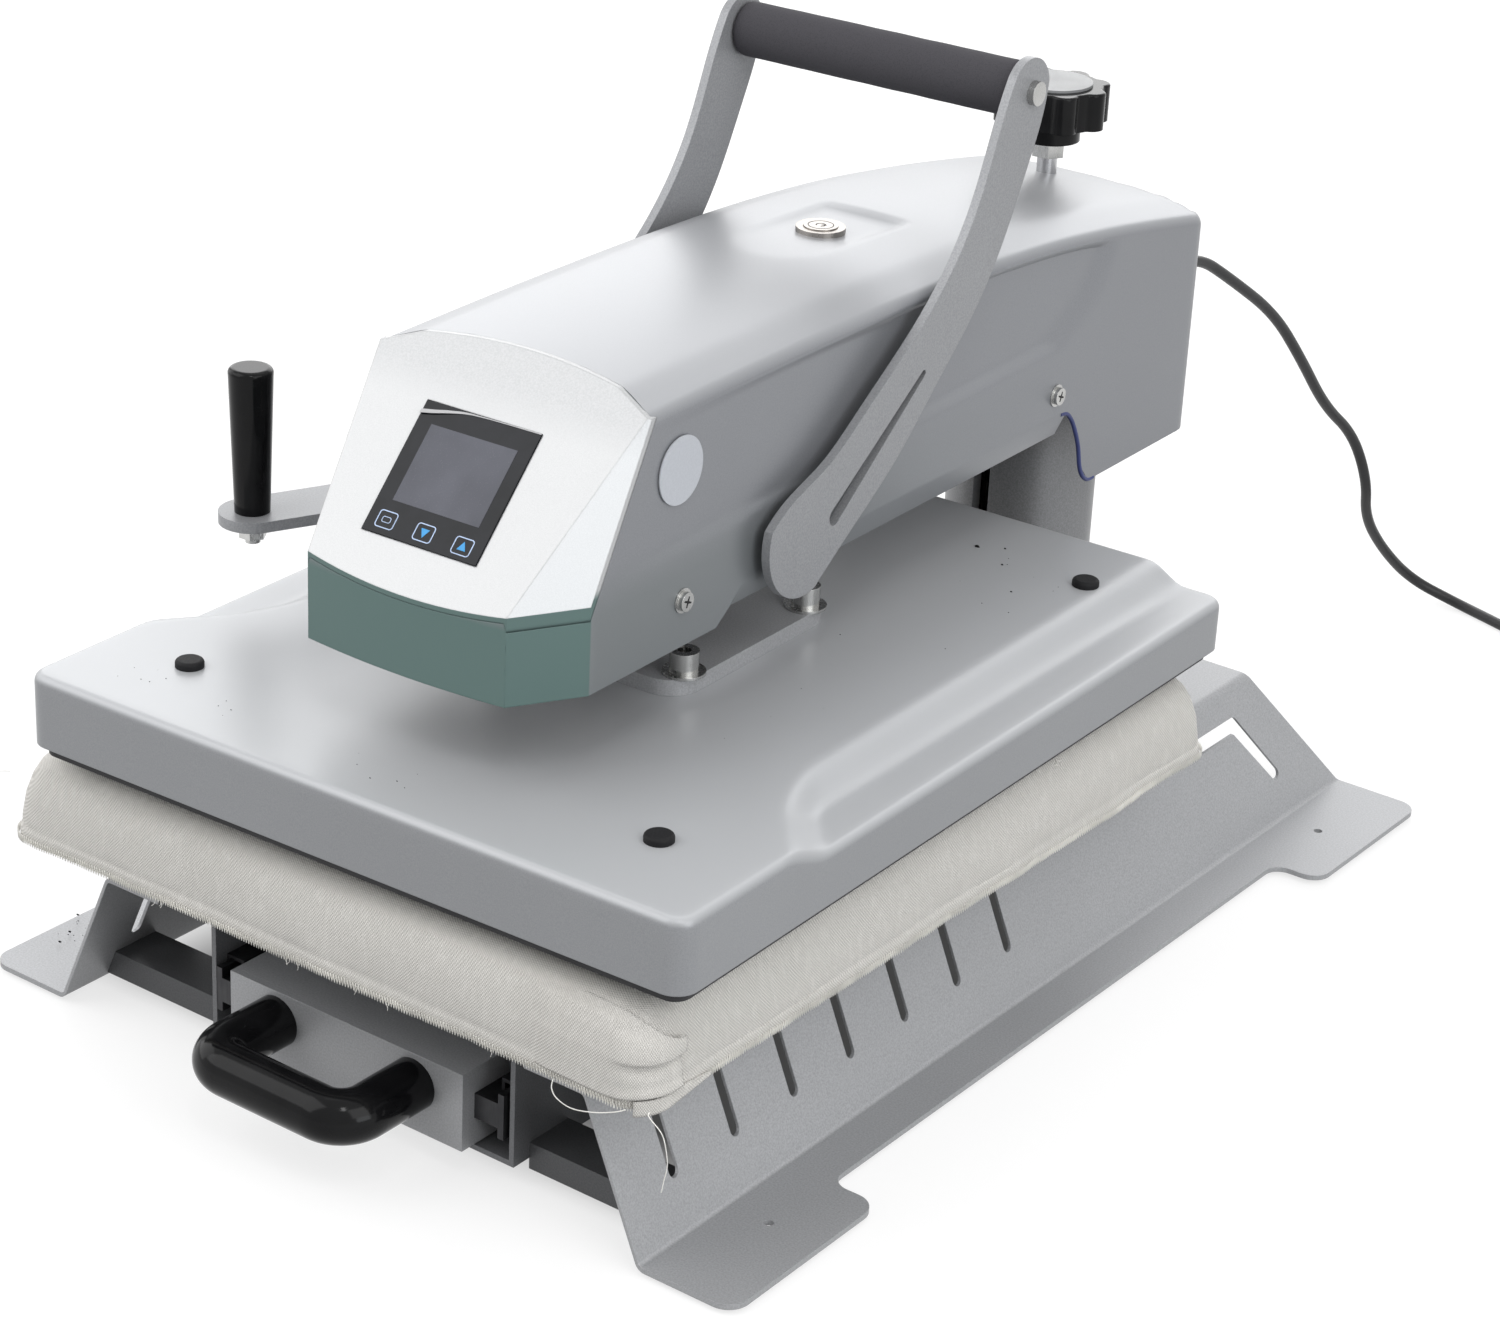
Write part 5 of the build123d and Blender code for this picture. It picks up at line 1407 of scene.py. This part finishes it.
# Half width, half height, corner radius and line width of the keys' frames and of the loop on the first
key_frame = (0.0056, 0.0046, 0.0018, 0.00055)
key_loop = (0.0027, 0.0016, 0.0012, 0.00036)
arrow_half_w = 0.0026
mark_sink = 0.0001
mark_lift = 0.00014
screen_lift = 0.00012
film_line = (
    (-0.002, 0.095),
    (0.10, 0.075),
    (0.22, 0.045),
    (0.36, 0.018),
    (0.50, 0.010),
    (0.70, 0.006),
    (1.0, 0.004),
)
film_steps = 40
film_t = 0.00012


def display_frame():
    """The glass's top left corner and its two directions, in the head's own frame."""
    glass = frame["nodes"]["display_glass"]
    straight = HEAD_TURN.inverted()
    outward = fascia_plane()[1]
    spots = [straight @ (glass.matrix_world @ v.co) for v in glass.data.vertices]
    top = max(p.dot(outward) for p in spots)
    face = [p for p in spots if p.dot(outward) > top - 0.0001]
    left = min(p.x for p in face)
    right = max(p.x for p in face)
    upper = max(face, key=lambda p: p.z)
    lower = min(face, key=lambda p: p.z)
    start = Vector((left, upper.y, upper.z))
    return start, Vector((right - left, 0, 0)), Vector((0, lower.y - upper.y, lower.z - upper.z)), outward


display_start, display_across, display_down, display_out = display_frame()


def on_display(u, v, lift):
    return display_start + display_across * u + display_down * v + display_out * lift


def lifted(outline, lift):
    """An outline in shares of the glass, as points over it."""
    return [on_display(u, v, lift) for u, v in outline]


def rounded_key(spot, half_w, half_h, r, steps=6):
    points = []
    for sx, sy, start in CORNERS:
        for k in range(steps + 1):
            angle = start + pi / 2 * k / steps
            x = sx * (half_w - r) + r * cos(angle)
            y = sy * (half_h - r) + r * sin(angle)
            points.append((spot[0] + x / display_w, spot[1] + y / display_down.length))
    return points


def key_ring(form, spot, half_w, half_h, r, line_w):
    """A thin line round a rounded rectangle on the display."""
    outer = rounded_key(spot, half_w, half_h, r)
    inner = rounded_key(spot, half_w - line_w, half_h - line_w, r - line_w)
    sections = ((outer, -mark_sink), (outer, mark_lift), (inner, mark_lift), (inner, -mark_sink))
    made = tube_of_rings(form, [lifted(*section) for section in sections], False, False)
    for i in range(len(made[0])):
        j = (i + 1) % len(made[0])
        form.faces.new((made[3][i], made[3][j], made[0][j], made[0][i]))


def on_glass(name, form, material, smooth_angle=None):
    dress(as_object(name, form, smooth_angle, True), material, "arm")


def make_display():
    form = bmesh.new()
    tube_of_rings(form, [lifted(screen_outline, -mark_sink), lifted(screen_outline, screen_lift)])
    on_glass("screen", form, "screen")
    form = bmesh.new()
    for spot in key_spots:
        key_ring(form, spot, *key_frame)
    key_ring(form, key_spots[0], *key_loop)
    on_glass("key_lines", form, "key_line")
    form = bmesh.new()
    for (u, v), hand in zip(key_spots[1:], (1, -1)):
        tall = hand * arrow_half_w / display_down.length
        wide = hand * arrow_half_w / display_w
        arrow = ((u - wide, v - tall * 0.8), (u + wide, v - tall * 0.8), (u, v + tall))
        tube_of_rings(form, [lifted(arrow, -mark_sink), lifted(arrow, mark_lift)])
    on_glass("key_marks", form, "key_mark")
    rings = []
    for i in range(film_steps + 1):
        u = i / film_steps
        v = on_curve(film_line, u)
        half = 0.012 * (1 - smooth(u / 0.6)) + 0.003
        lift = 0.0008 * (1 - smooth(u / 0.45)) + 0.0002
        sections = ((-half, lift), (half, lift + 0.0001), (half, lift - film_t), (-half, lift - film_t))
        rings.append([on_display(u, v + step, height) for step, height in sections])
    form = bmesh.new()
    tube_of_rings(form, rings)
    on_glass("film_edge", form, "clear_film", 50)


make_display()


# Small details: the cut-out's blue edge, painted shade in the screw recesses, the button's mark and grit

blue_edge_line = (
    (0.158, 0.2650),
    (0.166, 0.2632),
    (0.174, 0.2552),
    (0.182, 0.2402),
    (0.186, 0.2262),
    (0.190, 0.2190),
    (0.196, 0.2145),
    (0.203, 0.2138),
)
blue_edge_r = 0.0013
blue_edge_in = 0.0008
side_screw_x = 0.0865
side_screws = ((0.150, 0.279), (-0.205, 0.272))
cross_reach = 0.0030
cross_w = 0.0011
cross_depth = 0.0004
cross_lift = 0.00008
button_top = Vector((0.0, 0.027, 0.3894))
button_ring_r = (0.0066, 0.0071)
button_ring_lift = 0.00006
button_loop_r = (0.0022, 0.0028)
button_loop_turn = (-1.0, 2 * pi - 2.2)
button_loop_lift = 0.00008
mark_root = 0.0002
bar_half_w = 0.0003
bar_reach = (0.0004, 0.0033)
bar_turn = radians(-65)
foot_tab_reach = 0.01
# Crumbs: places and sizes on the cover, and places on the left foot
cover_crumbs = (
    (0.079, 0.0937, 0.0016),
    (0.0921, 0.1021, 0.0009),
    (0.1034, 0.0818, 0.0009),
    (0.1276, 0.0537, 0.0008),
)
foot_crumbs = (
    (-0.2491, -0.2837),
    (-0.2364, -0.2830),
    (-0.2343, -0.3111),
    (-0.2190, -0.3050),
    (-0.2384, -0.2998),
)
foot_crumb_size = 0.0011


def make_blue_edge():
    form = bmesh.new()
    for hand in (-1, 1):
        points = [(hand * (head_half_w - blue_edge_in), y, z) for y, z in blue_edge_line]
        thin_tube(form, smooth_path(points, 6), blue_edge_r, 10)
    dress(as_object("cut_out_edge", form, 60, True), "blue_edge", "arm")


def cross_plate(form, at, way):
    """A dark cross with tapered arms on a screw's head: painted shade standing for its cross recess."""
    way = Vector(way)
    side = way.cross(Vector((0.2, 0.35, 0.9))).normalized()
    other = way.cross(side)
    corners = []
    for turn in range(4):
        a = side * cos(pi / 2 * turn) + other * sin(pi / 2 * turn)
        b = way.cross(a)
        tip = a * cross_reach
        half = b * cross_w * 0.35
        corners += [tip - half, tip + half, (a + b) * cross_w * 0.6]
    levels = [Vector(at) + way * rise for rise in (-cross_depth, cross_lift)]
    tube_of_rings(form, [[level + p for p in corners] for level in levels])


def make_screw_marks():
    form = bmesh.new()
    for y, z in side_screws:
        for hand in (-1, 1):
            cross_plate(form, (hand * side_screw_x, y, z), (hand, 0, 0))
    dress(as_object("side_screw_marks", form, None, True), "dark_mark", "arm")


def arc_plate(form, radii, turns, low, high, steps=40):
    """A flat ring or part of one on the button, lying level."""
    r_in, r_out = radii
    start, end = turns
    spots = ((r_in, low), (r_out, low), (r_out, high), (r_in, high))
    rings = []
    for i in range(steps + 1):
        out = level_way(start + (end - start) * i / steps)
        rings.append([button_top + out * r + Vector((0, 0, h)) for r, h in spots])
    tube_of_rings(form, rings)


def make_button_mark():
    form = bmesh.new()
    # The ring is painted shade for the groove round the button; the loop and bar are its printed mark
    arc_plate(form, button_ring_r, (0.0, 2 * pi * 0.999), -mark_root, button_ring_lift)
    arc_plate(form, button_loop_r, button_loop_turn, -mark_root, button_loop_lift)
    near, far = bar_reach
    bar = ((-bar_half_w, near), (bar_half_w, near), (bar_half_w, far), (-bar_half_w, far))
    turned = Matrix.Rotation(bar_turn, 3, "Z")
    heights = (-mark_root, button_loop_lift)
    tube_of_rings(form, [[button_top + turned @ Vector((x, y, h)) for x, y in bar] for h in heights])
    dress(as_object("button_mark", form, None, True), "dark_mark", "button")


def grit_piece(form, at, size, seed):
    """One crumb: an uneven six-sided chip lying on a surface."""
    chance = random.Random(seed)
    rings = []
    for h, wide in ((0.0, 0.8), (0.35, 1.0), (0.7, 0.5)):
        ring = []
        for k in range(6):
            angle = 2 * pi * k / 6 + seed
            reach = size * wide * chance.uniform(0.5, 1.0)
            ring.append(Vector(at) + Vector((cos(angle) * reach * 1.3, sin(angle) * reach * 0.7, h * size)))
        rings.append(ring)
    tube_of_rings(form, rings)


def strew(form, chance, count, x_range, y_range, z, sizes, seed):
    """Small crumbs at random places of an area."""
    for i in range(count):
        at = (chance.uniform(*x_range), chance.uniform(*y_range), z)
        grit_piece(form, at, chance.uniform(*sizes), i + seed)


def foot_top():
    """The height of the left foot flange's top."""
    wing = frame["nodes"]["left_wing"]
    heights = [(wing.matrix_world @ corner.co).z for corner in wing.data.vertices]
    return max(height for height in heights if height < foot_tab_reach)


def make_grit():
    form = bmesh.new()
    for i, (x, y, size) in enumerate(cover_crumbs):
        grit_piece(form, (x, y, cover_top_z), size, i)
    chance = random.Random(5)
    strew(form, chance, 14, (0.09, 0.145), (-0.2, 0.11), cover_top_z, (0.0002, 0.0005), 9)
    strew(form, chance, 16, (-0.15, 0.05), (-0.345, -0.325), cover_top_z, (0.0002, 0.0005), 40)
    dress(as_object("cover_grit", form), "grit", "platen")
    form = bmesh.new()
    level = foot_top()
    for i, (x, y) in enumerate(foot_crumbs):
        grit_piece(form, (x, y, level), foot_crumb_size, i + 70)
    strew(form, chance, 14, (-0.245, -0.225), (-0.307, -0.288), level, (0.0003, 0.0007), 80)
    dress(as_object("foot_grit", form), "grit", "base")


make_blue_edge()
make_screw_marks()
make_button_mark()
make_grit()


bpy.context.scene.view_settings.view_transform = "Standard"
